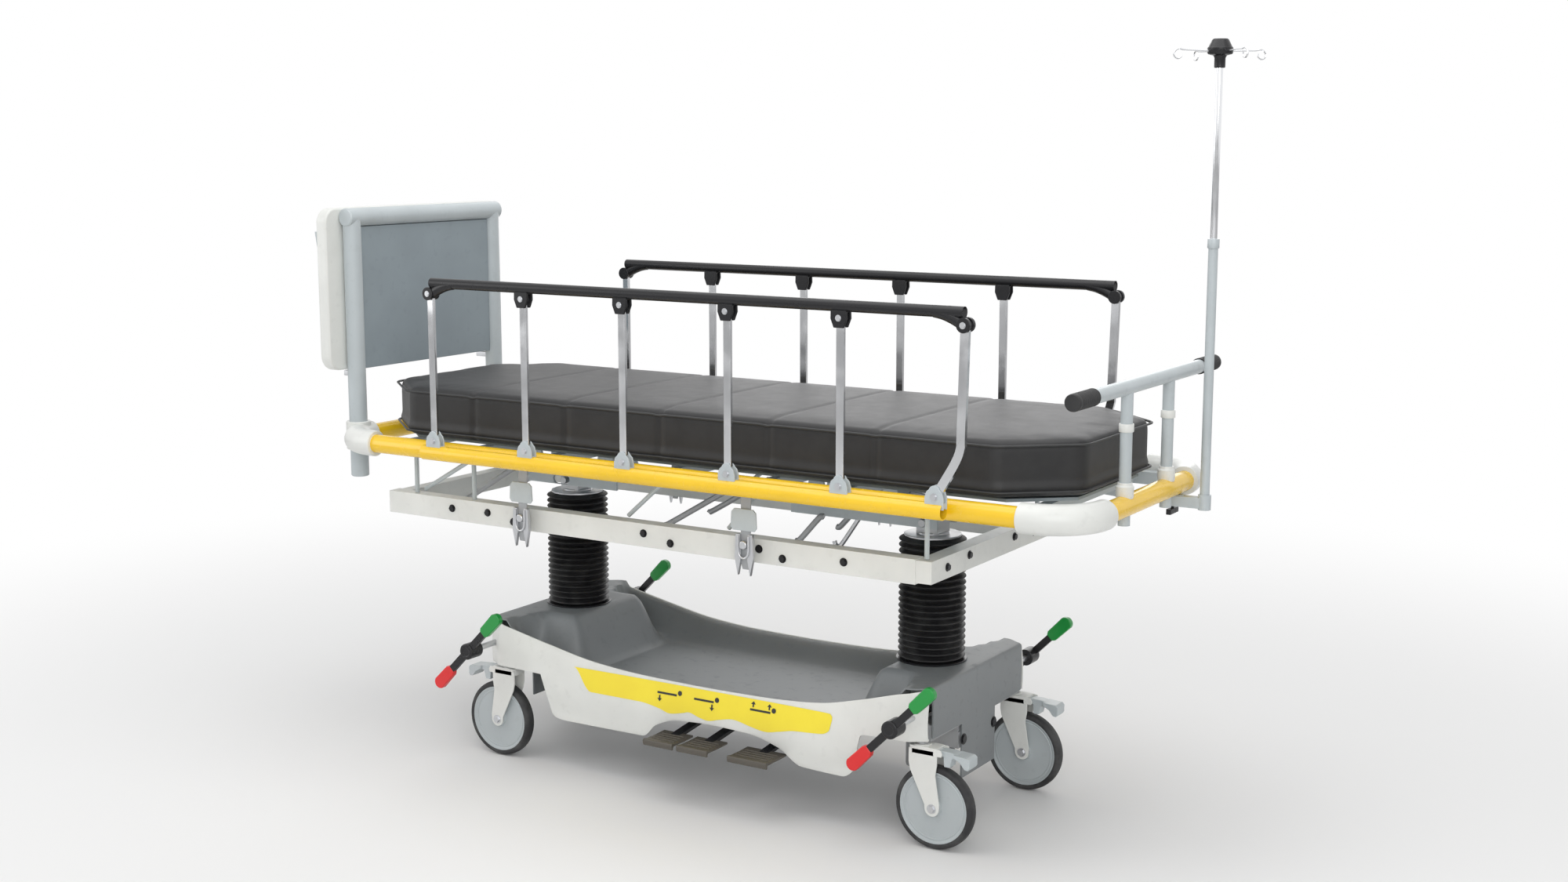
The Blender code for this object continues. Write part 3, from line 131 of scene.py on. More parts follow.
POCKET_Z = (1.100, 1.370)


# ---------------------------------------------------------------- finishes
class Number:
    """A value socket whose arithmetic adds Math nodes to its material."""

    def __init__(self, paint, socket):
        self.paint = paint
        self.socket = socket

    def maths(self, operation, *values):
        made = self.paint.node("ShaderNodeMath", {"operation": operation}, dict(enumerate(values)))
        return Number(self.paint, made.outputs[0])

    def __add__(self, other):
        return self.maths("ADD", self, other)

    __radd__ = __add__

    def __sub__(self, other):
        return self.maths("SUBTRACT", self, other)

    def __rsub__(self, other):
        return self.maths("SUBTRACT", other, self)

    def __mul__(self, other):
        return self.maths("MULTIPLY", self, other)

    __rmul__ = __mul__

    def above(self, edge, softness):
        """0 well below the edge and 1 well above it."""
        made = self.paint.node("ShaderNodeMapRange", {"interpolation_type": "SMOOTHSTEP"},
                               {"Value": self, "From Min": edge - softness, "From Max": edge + softness})
        return Number(self.paint, made.outputs[0])


class Paint:
    """A material: its shader, and the nodes that feed it."""

    def __init__(self, name, **fixed):
        self.material = bpy.data.materials.new(name)
        self.material.use_nodes = True
        self.tree = self.material.node_tree
        self.shader = self.tree.nodes["Principled BSDF"]
        self.set(**fixed)
        self.place = self.node("ShaderNodeTexCoord").outputs["Object"]

    def node(self, kind, settings=None, values=None):
        made = self.tree.nodes.new(kind)
        for key, value in (settings or {}).items():
            setattr(made, key, value)
        for key, value in (values or {}).items():
            self.feed(made.inputs[key], value)
        return made

    def feed(self, socket, value):
        value = value.socket if isinstance(value, Number) else value
        if isinstance(value, bpy.types.NodeSocket):
            self.tree.links.new(value, socket)
        else:
            socket.default_value = value

    def set(self, **values):
        """Feeds the shader's sockets, named with underscores for spaces."""
        for key, value in values.items():
            self.feed(self.shader.inputs[key.replace("_", " ")], value)

    def noise(self, scale, detail=3.0, stretch=(1, 1, 1)):
        place = self.node("ShaderNodeMapping", None, {"Vector": self.place, "Scale": stretch}).outputs[0]
        made = self.node("ShaderNodeTexNoise", None, {"Vector": place, "Scale": scale, "Detail": detail})
        return Number(self, made.outputs["Fac"])

    def height(self):
        return Number(self, self.node("ShaderNodeSeparateXYZ", None, {"Vector": self.place}).outputs["Z"])

    def bands(self, direction, period):
        """Stripes across one axis, a period apart."""
        made = self.node("ShaderNodeTexWave", {"bands_direction": direction},
                         {"Vector": self.place, "Scale": 0.314 / period})
        return Number(self, made.outputs["Fac"])

    def mix(self, factor, first, second):
        made = self.node("ShaderNodeMix", {"data_type": "RGBA"}, {0: factor, 6: first, 7: second})
        return made.outputs[2]

    def bump(self, height, depth, strength=1.0):
        made = self.node("ShaderNodeBump", None,
                         {"Height": height, "Distance": depth, "Strength": strength})
        self.set(Normal=made.outputs[0])


def shade(colour, amount):
    return (*(min(1.0, channel * amount) for channel in colour[:3]), 1.0)


def coated(name, colour, roughness, grain=700.0, depth=0.00006, low_darkening=0.10, coat=0.0, metallic=0.0,
           gloss=0.5, wear=0.22):
    """Powder coat, lacquer or moulded plastic: a fine grain, faint mottling, and colour darkened in patches towards the
    bottom.
    """
    paint = Paint(name, Metallic=metallic, Coat_Weight=coat, Coat_Roughness=0.12, Specular_IOR_Level=gloss)
    mottle = paint.noise(9.0, 4.0)
    scuff = paint.noise(46.0, 6.0).above(0.63, 0.06)
    # darker towards the bottom: the colour is mixed, in mottled patches, towards a dark brownish grey, most at the
    # floor and none above 0.4 m
    low = 1.0 - paint.height().above(0.20, 0.20)
    tone = paint.mix(mottle.above(0.5, 0.25), shade(colour, 0.95), shade(colour, 1.03))
    tone = paint.mix(scuff * wear, tone, shade(colour, 0.82))
    # the dark brownish grey that the lowest parts are darkened towards
    low_darkening_colour = (0.16, 0.15, 0.135, 1.0)
    paint.set(Base_Color=paint.mix(low * low_darkening * mottle, tone, low_darkening_colour),
              Roughness=roughness - 0.04 + mottle * 0.08 + scuff * 0.10)
    paint.bump(paint.noise(grain, 2.0), depth, 0.6)
    return paint.material


def bright_metal(name, colour, roughness, streak=(1, 1, 1)):
    """Plated or brushed metal with smudges."""
    paint = Paint(name, Metallic=1.0)
    smudge = paint.noise(14.0, 5.0)
    brushed = paint.noise(380.0, 2.0, streak)
    paint.set(Base_Color=paint.mix(smudge, shade(colour, 0.90), shade(colour, 1.0)),
              Roughness=roughness + smudge.above(0.55, 0.15) * 0.10 + brushed * 0.04)
    paint.bump(brushed, 0.00002, 0.4)
    return paint.material


def rubbery(name, colour, roughness, dusty=0.25):
    """Black rubber with a matt bloom."""
    paint = Paint(name)
    bloom = paint.noise(22.0, 6.0)
    paint.set(Base_Color=paint.mix(bloom.above(0.56, 0.16) * dusty, shade(colour, 1.0), (0.10, 0.10, 0.098, 1)),
              Roughness=roughness + bloom * 0.12)
    paint.bump(paint.noise(900.0, 3.0), 0.00010, 0.5)
    return paint.material


def coated_cloth(name, colour):
    """Wipe-clean mattress cover: a fine woven backing under a satin coating, with broad soft creases."""
    paint = Paint(name, Sheen_Weight=0.06, Sheen_Roughness=0.40, Specular_IOR_Level=0.35)
    weave = paint.bands("X", 0.0011) * 0.5 + paint.bands("Y", 0.0011) * 0.5
    crease = paint.noise(5.0, 3.0, (0.6, 1.5, 1.0))
    mottle = paint.noise(30.0, 5.0)
    tone = paint.mix(mottle.above(0.5, 0.2), shade(colour, 0.88), shade(colour, 1.12))
    paint.set(Base_Color=paint.mix(weave * 0.25, tone, shade(colour, 1.5)),
              Roughness=0.42 + mottle * 0.14)
    paint.bump(weave * 0.06 + crease, 0.0030, 0.30)
    return paint.material


def finishes():
    """Every finish, made once from the colours in the panel."""
    if "cot_white" in bpy.data.materials:
        return bpy.data.materials
    look = bpy.context.scene.cot_colours
    coated("cot_white", look.white, 0.34, coat=0.10)
    coated("cot_skirt", look.white, 0.36, grain=1500.0, depth=0.00004, coat=0.15)
    coated("cot_yellow", look.yellow, 0.24, grain=420.0, depth=0.00005, low_darkening=0.0, coat=0.35)
    coated("cot_tub", look.tub, 0.46, grain=1600.0, depth=0.00010)
    coated("cot_light_grey", look.light_grey, 0.33, coat=0.15)
    coated("cot_panel", look.panel, 0.42, grain=1400.0, depth=0.00008)
    coated("cot_steel", look.steel, 0.42, metallic=0.35)
    coated("cot_black", look.black, 0.28, grain=1200.0, depth=0.00008, low_darkening=0.0, gloss=0.35)
    coated("cot_pedal", look.pedal, 0.45, grain=900.0, depth=0.00012)
    coated("cot_green", look.green, 0.30, coat=0.2)
    coated("cot_red", look.red, 0.30, coat=0.2)
    coated("cot_label", look.label, 0.30, grain=300.0, depth=0.00001, low_darkening=0.0, wear=0.05)
    coated("cot_ink", (0.02, 0.02, 0.02), 0.45)
    coated("cot_wheel_disc", look.light_grey, 0.38, grain=1500.0, low_darkening=0.35)
    bright_metal("cot_chrome", (0.86, 0.87, 0.89), 0.07, (1, 1, 0.04))
    bright_metal("cot_zinc", (0.62, 0.63, 0.65), 0.28)
    rubbery("cot_tyre", (0.022, 0.022, 0.024), 0.62, 0.5)
    rubbery("cot_bellows", (0.010, 0.010, 0.011), 0.46)
    rubbery("cot_grip", (0.014, 0.014, 0.015), 0.50, 0.1)
    coated_cloth("cot_mattress", look.mattress)
    rubbery("cot_piping", (0.020, 0.021, 0.022), 0.42, 0.1)
    return bpy.data.materials


# ---------------------------------------------------------------- shapes
def sweep(form, path, radius, sides=24, closed=False):
    """A round bar along a path; radius is one number or one for each point."""
    path = [Vector(point) for point in path]
    radii = radius if isinstance(radius, (list, tuple)) else [radius] * len(path)
    rings, up = [], None
    for i, place in enumerate(path):
        before = path[i - 1] if i or closed else place
        after = path[(i + 1) % len(path)] if i + 1 < len(path) or closed else place
        way = (after - before).normalized()
        up = way.orthogonal() if up is None else up - way * up.dot(way)
        up.normalize()
        side = way.cross(up)
        rings.append([form.verts.new(place + radii[i] * (up * math.cos(k * math.tau / sides)
                                                         + side * math.sin(k * math.tau / sides)))
                      for k in range(sides)])
    for ring, after in zip(rings, rings[1:] + (rings[:1] if closed else [])):
        for k in range(sides):
            j = (k + 1) % sides
            form.faces.new((ring[k], ring[j], after[j], after[k]))
    if not closed:
        form.faces.new(reversed(rings[0]))
        form.faces.new(rings[-1])


def lathe(form, profile, origin, axis=(0, 0, 1), sides=40):
    """A profile of (radius, height) points turned about an axis; it closes at radius 0 or on itself."""
    turn = Vector(axis).to_track_quat("Z", "Y").to_matrix()
    origin = Vector(origin)
    open_ends = profile[0][0] > 0 and profile[-1][0] > 0
    rows = []
    for radius, height in profile:
        if radius <= 0:
            rows.append([form.verts.new(origin + turn @ Vector((0, 0, height)))])
            continue
        rows.append([form.verts.new(origin + turn @ Vector((radius * math.cos(k * math.tau / sides),
                                                            radius * math.sin(k * math.tau / sides), height)))
                     for k in range(sides)])
    for row, after in zip(rows, rows[1:] + (rows[:1] if open_ends else [])):
        for k in range(sides):
            j = (k + 1) % sides
            corners = ([row[0]] if len(row) == 1 else [row[k], row[j]])
            corners += ([after[0]] if len(after) == 1 else [after[j], after[k]])
            form.faces.new(corners)


def block(form, low, high):
    low, high = Vector(low), Vector(high)
    made = bmesh.ops.create_cube(form, size=1.0)["verts"]
    bmesh.ops.scale(form, vec=high - low, verts=made)
    bmesh.ops.translate(form, vec=(low + high) / 2, verts=made)
    return made


def slab(form, outline, low, high, plane="XZ"):
    """A flat plate: an outline in a plane, from low to high across it."""
    def at(point, depth):
        a, b = point
        return {"XZ": (a, depth, b), "YZ": (depth, a, b), "XY": (a, b, depth)}[plane]
    bottom = [form.verts.new(at(point, low)) for point in outline]
    top = [form.verts.new(at(point, high)) for point in outline]
    form.faces.new(bottom)
    form.faces.new(reversed(top))
    for i in range(len(outline)):
        j = (i + 1) % len(outline)
        form.faces.new((bottom[i], top[i], top[j], bottom[j]))
    return bottom + top


def arc(centre, radius, start_deg, end_deg, steps=8):
    return [(centre[0] + radius * math.cos(math.radians(start_deg + (end_deg - start_deg) * i / steps)),
             centre[1] + radius * math.sin(math.radians(start_deg + (end_deg - start_deg) * i / steps)))
            for i in range(steps + 1)]


def round_box(low, high, radius, steps=6):
    corners = (((high[0] - radius, high[1] - radius), 0), ((low[0] + radius, high[1] - radius), 90),
               ((low[0] + radius, low[1] + radius), 180), ((high[0] - radius, low[1] + radius), 270))
    return [point for centre, turn in corners for point in arc(centre, radius, turn, turn + 90, steps)]


def curve_through(points, steps=8):
    """A smooth line through points in space."""
    points = [Vector(point) for point in points]
    ends = [2 * points[0] - points[1], *points, 2 * points[-1] - points[-2]]
    line = []
    for a, b, c, d in zip(ends, ends[1:], ends[2:], ends[3:]):
        for i in range(steps):
            t = i / steps
            line.append(0.5 * ((2 * b) + (c - a) * t + (2 * a - 5 * b + 4 * c - d) * t * t
                               + (3 * b - a - 3 * c + d) * t ** 3))
    return line + [points[-1]]


def level_at(points, x):
    """The height of a smooth line through (x, z) points, with no overshoot."""
    last = len(points) - 2
    i = max(k for k in range(last + 1) if k == 0 or points[k][0] <= x)

    def slope(k):
        if k <= 0 or k >= last + 1:
            return 0.0
        before = (points[k][1] - points[k - 1][1]) / (points[k][0] - points[k - 1][0])
        after = (points[k + 1][1] - points[k][1]) / (points[k + 1][0] - points[k][0])
        return 0.0 if before * after <= 0 else 2 * before * after / (before + after)
    (x0, z0), (x1, z1) = points[i], points[i + 1]
    run = x1 - x0
    t = min(1.0, max(0.0, (x - x0) / run))
    return (z0 * (1 + 2 * t) * (1 - t) ** 2 + slope(i) * run * t * (1 - t) ** 2
            + z1 * t * t * (3 - 2 * t) + slope(i + 1) * run * t * t * (t - 1))


def smooth_step(value):
    value = min(1.0, max(0.0, value))
    return value * value * (3 - 2 * value)


def plain(made):
    """Applies an object's modifiers, so that its mesh is final."""
    bpy.context.view_layer.update()
    shown = made.evaluated_get(bpy.context.evaluated_depsgraph_get())
    mesh = bpy.data.meshes.new_from_object(shown)
    made.modifiers.clear()
    made.data = mesh
    mesh.name = made.name
    return made


def piece(name, form, finish, body, replaces=(), bevel=0.0, steps=2, angle=35.0):
    """Turns a form into a finished piece that rides on a body."""
    bmesh.ops.remove_doubles(form, verts=form.verts, dist=0.000001)
    bmesh.ops.recalc_face_normals(form, faces=form.faces)
    mesh = bpy.data.meshes.new(name)
    form.to_mesh(mesh)
    form.free()
    mesh.shade_smooth()
    made = bpy.data.objects.new(name, mesh)
    bpy.context.scene.collection.objects.link(made)
    if bevel:
        edge = made.modifiers.new("edge", "BEVEL")
        edge.width = bevel
        edge.segments = steps
        edge.limit_method = "ANGLE"
        edge.angle_limit = math.radians(angle)
        made.modifiers.new("flats", "WEIGHTED_NORMAL").keep_sharp = True
        plain(made)
    else:
        mesh.set_sharp_from_angle(angle=math.radians(angle))
    made.data.materials.clear()
    made.data.materials.append(finishes()[finish])
    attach(made, body)
    if replaces:
        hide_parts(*replaces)
    return made


def softened(node, finish, body, bevel=0.0012, name=None):
    """A frame node's own shape with rounded edges, in its place."""
    form = bmesh.new()
    form.from_mesh(frame["nodes"][node].data)
    bmesh.ops.remove_doubles(form, verts=form.verts, dist=0.00002)
    bmesh.ops.dissolve_limit(form, angle_limit=math.radians(1.0), verts=form.verts, edges=form.edges)
    return piece(name or f"{node}_finished", form, finish, body, (node,), bevel=bevel)


def repaint(node, finish):
    """A frame node that stays as it is, with a better finish."""
    slots = frame["nodes"][node].material_slots
    for place in slots:
        place.material = finishes()[finish]


class Growth:
    """A Geometry Nodes tree with named inputs, used once on an object and then applied."""

    def __init__(self, name, **numbers):
        self.group = bpy.data.node_groups.new(name, "GeometryNodeTree")
        face = self.group.interface
        face.new_socket("Geometry", in_out="INPUT", socket_type="NodeSocketGeometry")
        face.new_socket("Geometry", in_out="OUTPUT", socket_type="NodeSocketGeometry")
        self.keys = {}
        for label, value in numbers.items():
            kind = "NodeSocketInt" if isinstance(value, int) else "NodeSocketFloat"
            made = face.new_socket(label.replace("_", " "), in_out="INPUT", socket_type=kind)
            self.keys[made.identifier] = value
        self.start = self.group.nodes.new("NodeGroupInput")
        self.end = self.group.nodes.new("NodeGroupOutput")

    def given(self, label):
        return self.start.outputs[label]

    def node(self, kind, settings=None, values=None):
        made = self.group.nodes.new(kind)
        for key, value in (settings or {}).items():
            setattr(made, key, value)
        for key, value in (values or {}).items():
            if isinstance(value, bpy.types.NodeSocket):
                self.group.links.new(value, made.inputs[key])
            else:
                made.inputs[key].default_value = value
        return made

    def maths(self, operation, *values):
        return self.node("ShaderNodeMath", {"operation": operation}, dict(enumerate(values))).outputs[0]

    def grow(self, made, geometry, finish):
        """Ends the tree, runs it on an object and leaves the plain mesh there."""
        real = self.node("GeometryNodeRealizeInstances", None, {0: geometry}).outputs[0]
        painted = self.node("GeometryNodeSetMaterial", None, {"Geometry": real, "Material": finishes()[finish]})
        self.group.links.new(painted.outputs[0], self.end.inputs[0])
        change = made.modifiers.new("growth", "NODES")
        change.node_group = self.group
        for key, value in self.keys.items():
            change[key] = value
        plain(made)
        form = bmesh.new()
        form.from_mesh(made.data)
        bmesh.ops.remove_doubles(form, verts=form.verts, dist=0.000001)
        bmesh.ops.recalc_face_normals(form, faces=form.faces)
        form.to_mesh(made.data)
        form.free()
        made.data.shade_smooth()
        made.data.set_sharp_from_angle(angle=math.radians(35.0))
        return made


def seed_object(name, points=(), facings=()):
    """Loose points for a tree to grow on, each with the way it faces."""
    mesh = bpy.data.meshes.new(name)
    mesh.from_pydata([tuple(point) for point in points], [], [])
    if facings:
        facing = mesh.attributes.new("facing", "FLOAT_VECTOR", "POINT")
        facing.data.foreach_set("vector", [value for way in facings for value in way])
    made = bpy.data.objects.new(name, mesh)
    bpy.context.scene.collection.objects.link(made)
    return made


def screws(name, spots, finish, body, radius=0.0075, height=0.005, sides=6):
    """A bolt head on a washer at each (place, facing)."""
    made = seed_object(name, [spot[0] for spot in spots], [spot[1] for spot in spots])
    tree = Growth(name, Head_Radius=radius, Head_Height=height, Head_Sides=sides)
    head = tree.node("GeometryNodeMeshCylinder", None,
                     {"Vertices": tree.given("Head Sides"), "Radius": tree.given("Head Radius"),
                      "Depth": tree.given("Head Height")}).outputs["Mesh"]
    rise = tree.maths("MULTIPLY", tree.given("Head Height"), 0.65)
    lift = tree.node("ShaderNodeCombineXYZ", None, {"Z": rise}).outputs[0]
    head = tree.node("GeometryNodeTransform", None, {"Geometry": head, "Translation": lift}).outputs[0]
    washer = tree.node("GeometryNodeMeshCylinder", None,
                       {"Vertices": 20, "Radius": tree.maths("MULTIPLY", tree.given("Head Radius"), 1.35),
                        "Depth": 0.0018}).outputs["Mesh"]
    both = tree.node("GeometryNodeJoinGeometry")
    tree.group.links.new(head, both.inputs[0])
    tree.group.links.new(washer, both.inputs[0])
    way = tree.node("GeometryNodeInputNamedAttribute", {"data_type": "FLOAT_VECTOR"}, {"Name": "facing"})
    turn = tree.node("FunctionNodeAlignRotationToVector", {"axis": "Z"}, {"Vector": way.outputs[0]})
    points = tree.node("GeometryNodeMeshToPoints", None, {"Mesh": tree.given("Geometry")}).outputs[0]
    placed = tree.node("GeometryNodeInstanceOnPoints", None,
                       {"Points": points, "Instance": both.outputs[0], "Rotation": turn.outputs[0]})
    tree.grow(made, placed.outputs[0], finish)
    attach(made, body)
    return made


# ---------------------------------------------------------------- base
def rim_y(x):
    """Half the base's width at its rim, which is drawn in at the ends."""
    return RIM_Y - 0.025 * smooth_step((abs(x) - 0.60) / (BASE_HALF - 0.60))


def tub_height(x, y):
    """The tub's surface: a flat floor, walls up to the rim and a plateau at each end."""
    half = rim_y(x)
    rim = level_at(SKIRT_TOP, x) - 0.002
    basin = FLOOR_Z + (rim - FLOOR_Z) * smooth_step((abs(y) - 0.175) / (half - 0.180))
    slope = FLOOR_Z + (rim - FLOOR_Z) * smooth_step((abs(x) - 0.50) / 0.12)
    reach = 0.135 + (half - 0.100) * smooth_step((abs(x) - 0.545) / 0.070)
    raised = smooth_step((abs(x) - 0.385) / 0.085) * smooth_step((reach + 0.070 - abs(y)) / 0.070)
    low = max(basin, slope)
    return low + (PLATEAU_Z - low) * raised


def skirt_y(x, z):
    """The skirt's outer face, which bulges like a boat's side."""
    depth = (level_at(SKIRT_TOP, x) - z) / 0.160
    return rim_y(x) + 0.012 * math.sin(math.pi * min(1.0, max(0.0, depth)))


def grid_faces(form, rows):
    for row, after in zip(rows, rows[1:]):
        for a, b, c, d in zip(row, row[1:], after[1:], after):
            form.faces.new((a, b, c, d))


def walled(made, thickness, bevel):
    """Gives an open skin its wall, inwards, and rounds the wall's edges."""
    wall = made.modifiers.new("wall", "SOLIDIFY")
    wall.thickness = thickness
    wall.offset = -1
    if bevel:
        edge = made.modifiers.new("edge", "BEVEL")
        edge.width = bevel
        edge.segments = 2
        edge.limit_method = "ANGLE"
        edge.angle_limit = math.radians(50.0)
    plain(made)
    made.data.shade_smooth()
    made.data.set_sharp_from_angle(angle=math.radians(50.0))


def open_skin(name, form, finish, body, outward, thickness, bevel, replaces=()):
    """A skin that mostly faces outward, given a wall and then ridden on its body."""
    made = seed_object(name)
    form.normal_update()
    if sum(face.normal.dot(Vector(outward)) * face.calc_area() for face in form.faces) < 0:
        bmesh.ops.reverse_faces(form, faces=form.faces[:])
    form.to_mesh(made.data)
    form.free()
    made.data.materials.append(finishes()[finish])
    walled(made, thickness, bevel)
    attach(made, body)
    if replaces:
        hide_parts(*replaces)
    return made


def make_tub():
    form = bmesh.new()
    count = 96
    stations = [-0.645 + 1.290 * i / count for i in range(count + 1)]
    across = [math.sin(math.radians(-90 + 180 * i / 48)) * 0.55 + (-1 + i / 24) * 0.45 for i in range(49)]
    rows = []
    for end in (-1, 1):
        face = []
        for z in (0.120, 0.150, 0.180, 0.210, 0.2545, 0.2575, 0.262, 0.290, 0.320, 0.345, 0.360, 0.368):
            half = rim_y(BASE_HALF) - 0.008 if z > 0.2555 else CASTER_Y - 0.154
            face.append([form.verts.new((end * BASE_HALF, t * half, z)) for t in across])
        half = rim_y(BASE_HALF) - 0.008
        for inset, z in ((0.001, 0.3715), (0.003, 0.3745)):
            face.append([form.verts.new((end * (BASE_HALF - inset), t * half, z)) for t in across])
        if end < 0:
            rows += face
            for x in stations:
                half = rim_y(x) - 0.0075
                rows.append([form.verts.new((x, t * half, tub_height(x, t * half))) for t in across])
        else:
            rows += reversed(face)
    grid_faces(form, rows)
    open_skin("base_tub_shell", form, "cot_tub", "base", (0, 0, 1), 0.004, 0.0, ("base_tub",))


def skirt_surface(x, share):
    top, foot = level_at(SKIRT_TOP, x), level_at(SKIRT_FOOT, x)
    z = foot + (top - foot) * share
    return x, skirt_y(x, z), z


def make_skirts():
    count = 150
    for name, side in SIDES:
        form = bmesh.new()
        rows = []
        for i in range(count + 1):
            x = -0.648 + 1.296 * i / count
            line = [skirt_surface(x, k / 14) for k in range(15)]
            # a small rolled edge along the foot
            lip = (x, line[0][1] - 0.005, line[0][2] + 0.0015)
            rows.append([form.verts.new((a, side * b, c)) for a, b, c in [lip] + line])
        grid_faces(form, rows)
        open_skin(f"skirt_{name}_shell", form, "cot_skirt", "base", (0, side, 0), 0.004, 0.0014,
                  (f"skirt_{name}",))


LABEL_TOP = ((-0.360, 0.2868), (0.380, 0.2868), (0.400, 0.2862), (0.407, 0.280))
LABEL_FOOT = ((-0.360, 0.2866), (-0.303, 0.230), (-0.150, 0.230), (-0.090, 0.222), (-0.060, 0.214),
              (-0.020, 0.221), (0.000, 0.226), (0.030, 0.218), (0.055, 0.214), (0.090, 0.222),
              (0.130, 0.229), (0.180, 0.220), (0.222, 0.214), (0.262, 0.221), (0.300, 0.229),
              (0.382, 0.236), (0.400, 0.246), (0.407, 0.272))


def label_patch(name, columns, lift, finish):
    """A thin film on the near skirt from columns of (x, foot z, top z)."""
    form = bmesh.new()
    rows = []
    for x, foot, top in columns:
        heights = [foot + (top - foot) * k / 6 for k in range(7)]
        rows.append([form.verts.new((x, -(skirt_y(x, z) + lift), z)) for z in heights])
    grid_faces(form, rows)
    open_skin(name, form, finish, "base", (0, -1, 0), 0.0002, 0.0)


def make_label():
    columns = []
    for i in range(121):
        x = -0.3595 + 0.766 * i / 120
        columns.append((x, level_at(LABEL_FOOT, x), min(level_at(LABEL_TOP, x), level_at(SKIRT_TOP, x) - 0.004)))
    label_patch("pedal_label", columns, 0.0012, "cot_label")
    # a pictogram over each pedal: a bar for the deck, an arrow at one end or both, and a dot for the head
    marks = ((-0.063, (-0.026,), -1), (0.047, (0.020,), -1), (0.211, (-0.026, 0.020), 1))
    form = bmesh.new()

    def patch(outline):
        low = [form.verts.new((x, -(skirt_y(x, z) + 0.0019), z)) for x, z in outline]
        form.faces.new(low)
    for x, arrows, way in marks:
        z = 0.262
        patch([(x - 0.034, z - 0.0025), (x + 0.024, z - 0.0025), (x + 0.024, z + 0.0025), (x - 0.034, z + 0.0025)])
        patch([(x + 0.033 + a, z + 0.006 + b) for a, b in arc((0, 0), 0.0062, 0, 342, 18)])
        for shift in arrows:
            tip = z + way * 0.020 if way > 0 else z - 0.022
            foot = z + way * 0.006
            patch([(x + shift - 0.002, foot), (x + shift + 0.002, foot),
                   (x + shift + 0.002, foot + (tip - foot) * 0.5), (x + shift - 0.002, foot + (tip - foot) * 0.5)])
            patch([(x + shift - 0.0065, foot + (tip - foot) * 0.5), (x + shift + 0.0065, foot + (tip - foot) * 0.5),
                   (x + shift, tip)])
    open_skin("pedal_pictograms", form, "cot_ink", "base", (0, -1, 0), 0.0002, 0.0)


def make_chassis():
    softened("chassis", "cot_steel", "base", 0.0015)
    spots = [((swivel, side * CASTER_Y, 0.2925), (0, 0, 1)) for _, swivel, _ in SWIVELS for _, side in SIDES]
    screws("caster_housing_caps", spots, "cot_zinc", "base", 0.010, 0.006, 12)
    # plugs on the end faces, over the ends of the frame's long members
    spots = [((way * (BASE_HALF + 0.0005), side * 0.080, 0.215), (way, 0, 0))
             for way in (-1, 1) for _, side in SIDES]
    screws("end_plugs", spots, "cot_black", "base", 0.010, 0.003, 16)


# ---------------------------------------------------------------- casters
def place_caster(form, swivel, side, way):
    turn = Matrix.Translation((swivel, side * CASTER_Y, 0)) @ Matrix.Rotation(0 if way > 0 else math.pi, 4, "Z")
    bmesh.ops.transform(form, matrix=turn, verts=form.verts)


def fork_form():
    form = bmesh.new()
    leg = WHEEL_HALF + 0.0015
    for side in (-1, 1):
        low, high = sorted((side * leg, side * (leg + 0.0042)))
        outline = [(-0.026, 0.2380), (-0.026, 0.205), (-0.022, 0.186), (TRAIL - 0.019, 0.108)]
        outline += arc((TRAIL, WHEEL_R), 0.0185, 190, 350, 12)
        outline += [(TRAIL + 0.019, 0.112), (0.043, 0.180), (0.047, 0.205), (0.047, 0.2380)]
        slab(form, outline, low, high)
    crown = round_box((-0.027, -leg - 0.0042), (0.048, leg + 0.0042), 0.010)
    slab(form, crown, 0.2255, FORK_TOP - 0.001, "XY")
    lugs = [(0.040, 0.2255), (0.058, 0.226), (0.0605, 0.234), (0.056, 0.2425), (0.040, 0.2440)]
    for side in (-1, 1):
        low, high = sorted((side * (leg + 0.0008), side * (leg + 0.0038)))
        slab(form, lugs, low, high)
    lathe(form, [(0, 0.2430), (0.021, 0.2430), (0.0215, 0.2455), (0.019, 0.2467), (0, 0.2467)], (0, 0, 0))
    return form


def wheel_forms():
    """The tyre, and the disc inside it with its raised line and hub."""
    centre = (TRAIL, 0, WHEEL_R)
    tyre = bmesh.new()
    profile = [(0.0855, -0.0138), (0.0885, -0.0152), (0.0920, -0.0154), (0.0962, -0.0136), (0.0988, -0.0095),
               (0.0998, -0.0048)]
    profile += [(r, -h) for r, h in reversed(profile)]
    lathe(tyre, profile, centre, (0, 1, 0), 72)
    disc = bmesh.new()
    side = [(0.0070, -0.0163), (0.0150, -0.0163), (0.0195, -0.0150), (0.0215, -0.0105), (0.030, -0.0086),
            (0.062, -0.0084), (0.0735, -0.0100), (0.0745, -0.0114), (0.0765, -0.0118), (0.0780, -0.0106),
            (0.0815, -0.0120), (0.0840, -0.0142), (0.0862, -0.0140)]
    lathe(disc, side + [(r, -h) for r, h in reversed(side)], centre, (0, 1, 0), 72)
    return tyre, disc


def toe_form():
    form = bmesh.new()
    out, up = TOE_PIVOT
    reach = 0.080
    outline = [(-0.004, -0.0060), (0.010, -0.0075), (0.012, -0.031), (0.027, -0.031), (0.032, -0.010),
               (reach - 0.032, -0.0060), (reach - 0.032, 0.0025), (0.030, 0.0062), (0.004, 0.0066),
               (-0.004, 0.0035)]
    slab(form, outline, -0.0150, 0.0150)
    tip = [(reach - 0.042, -0.004), (reach - 0.024, -0.014), (reach - 0.013, -0.0275), (reach - 0.004, -0.0285),
           (reach, -0.022), (reach, -0.004), (reach - 0.006, 0.001), (reach - 0.042, 0.0035)]
    slab(form, tip, -0.0215, 0.0215)
    bmesh.ops.translate(form, vec=(out, 0, up), verts=form.verts)
    return form


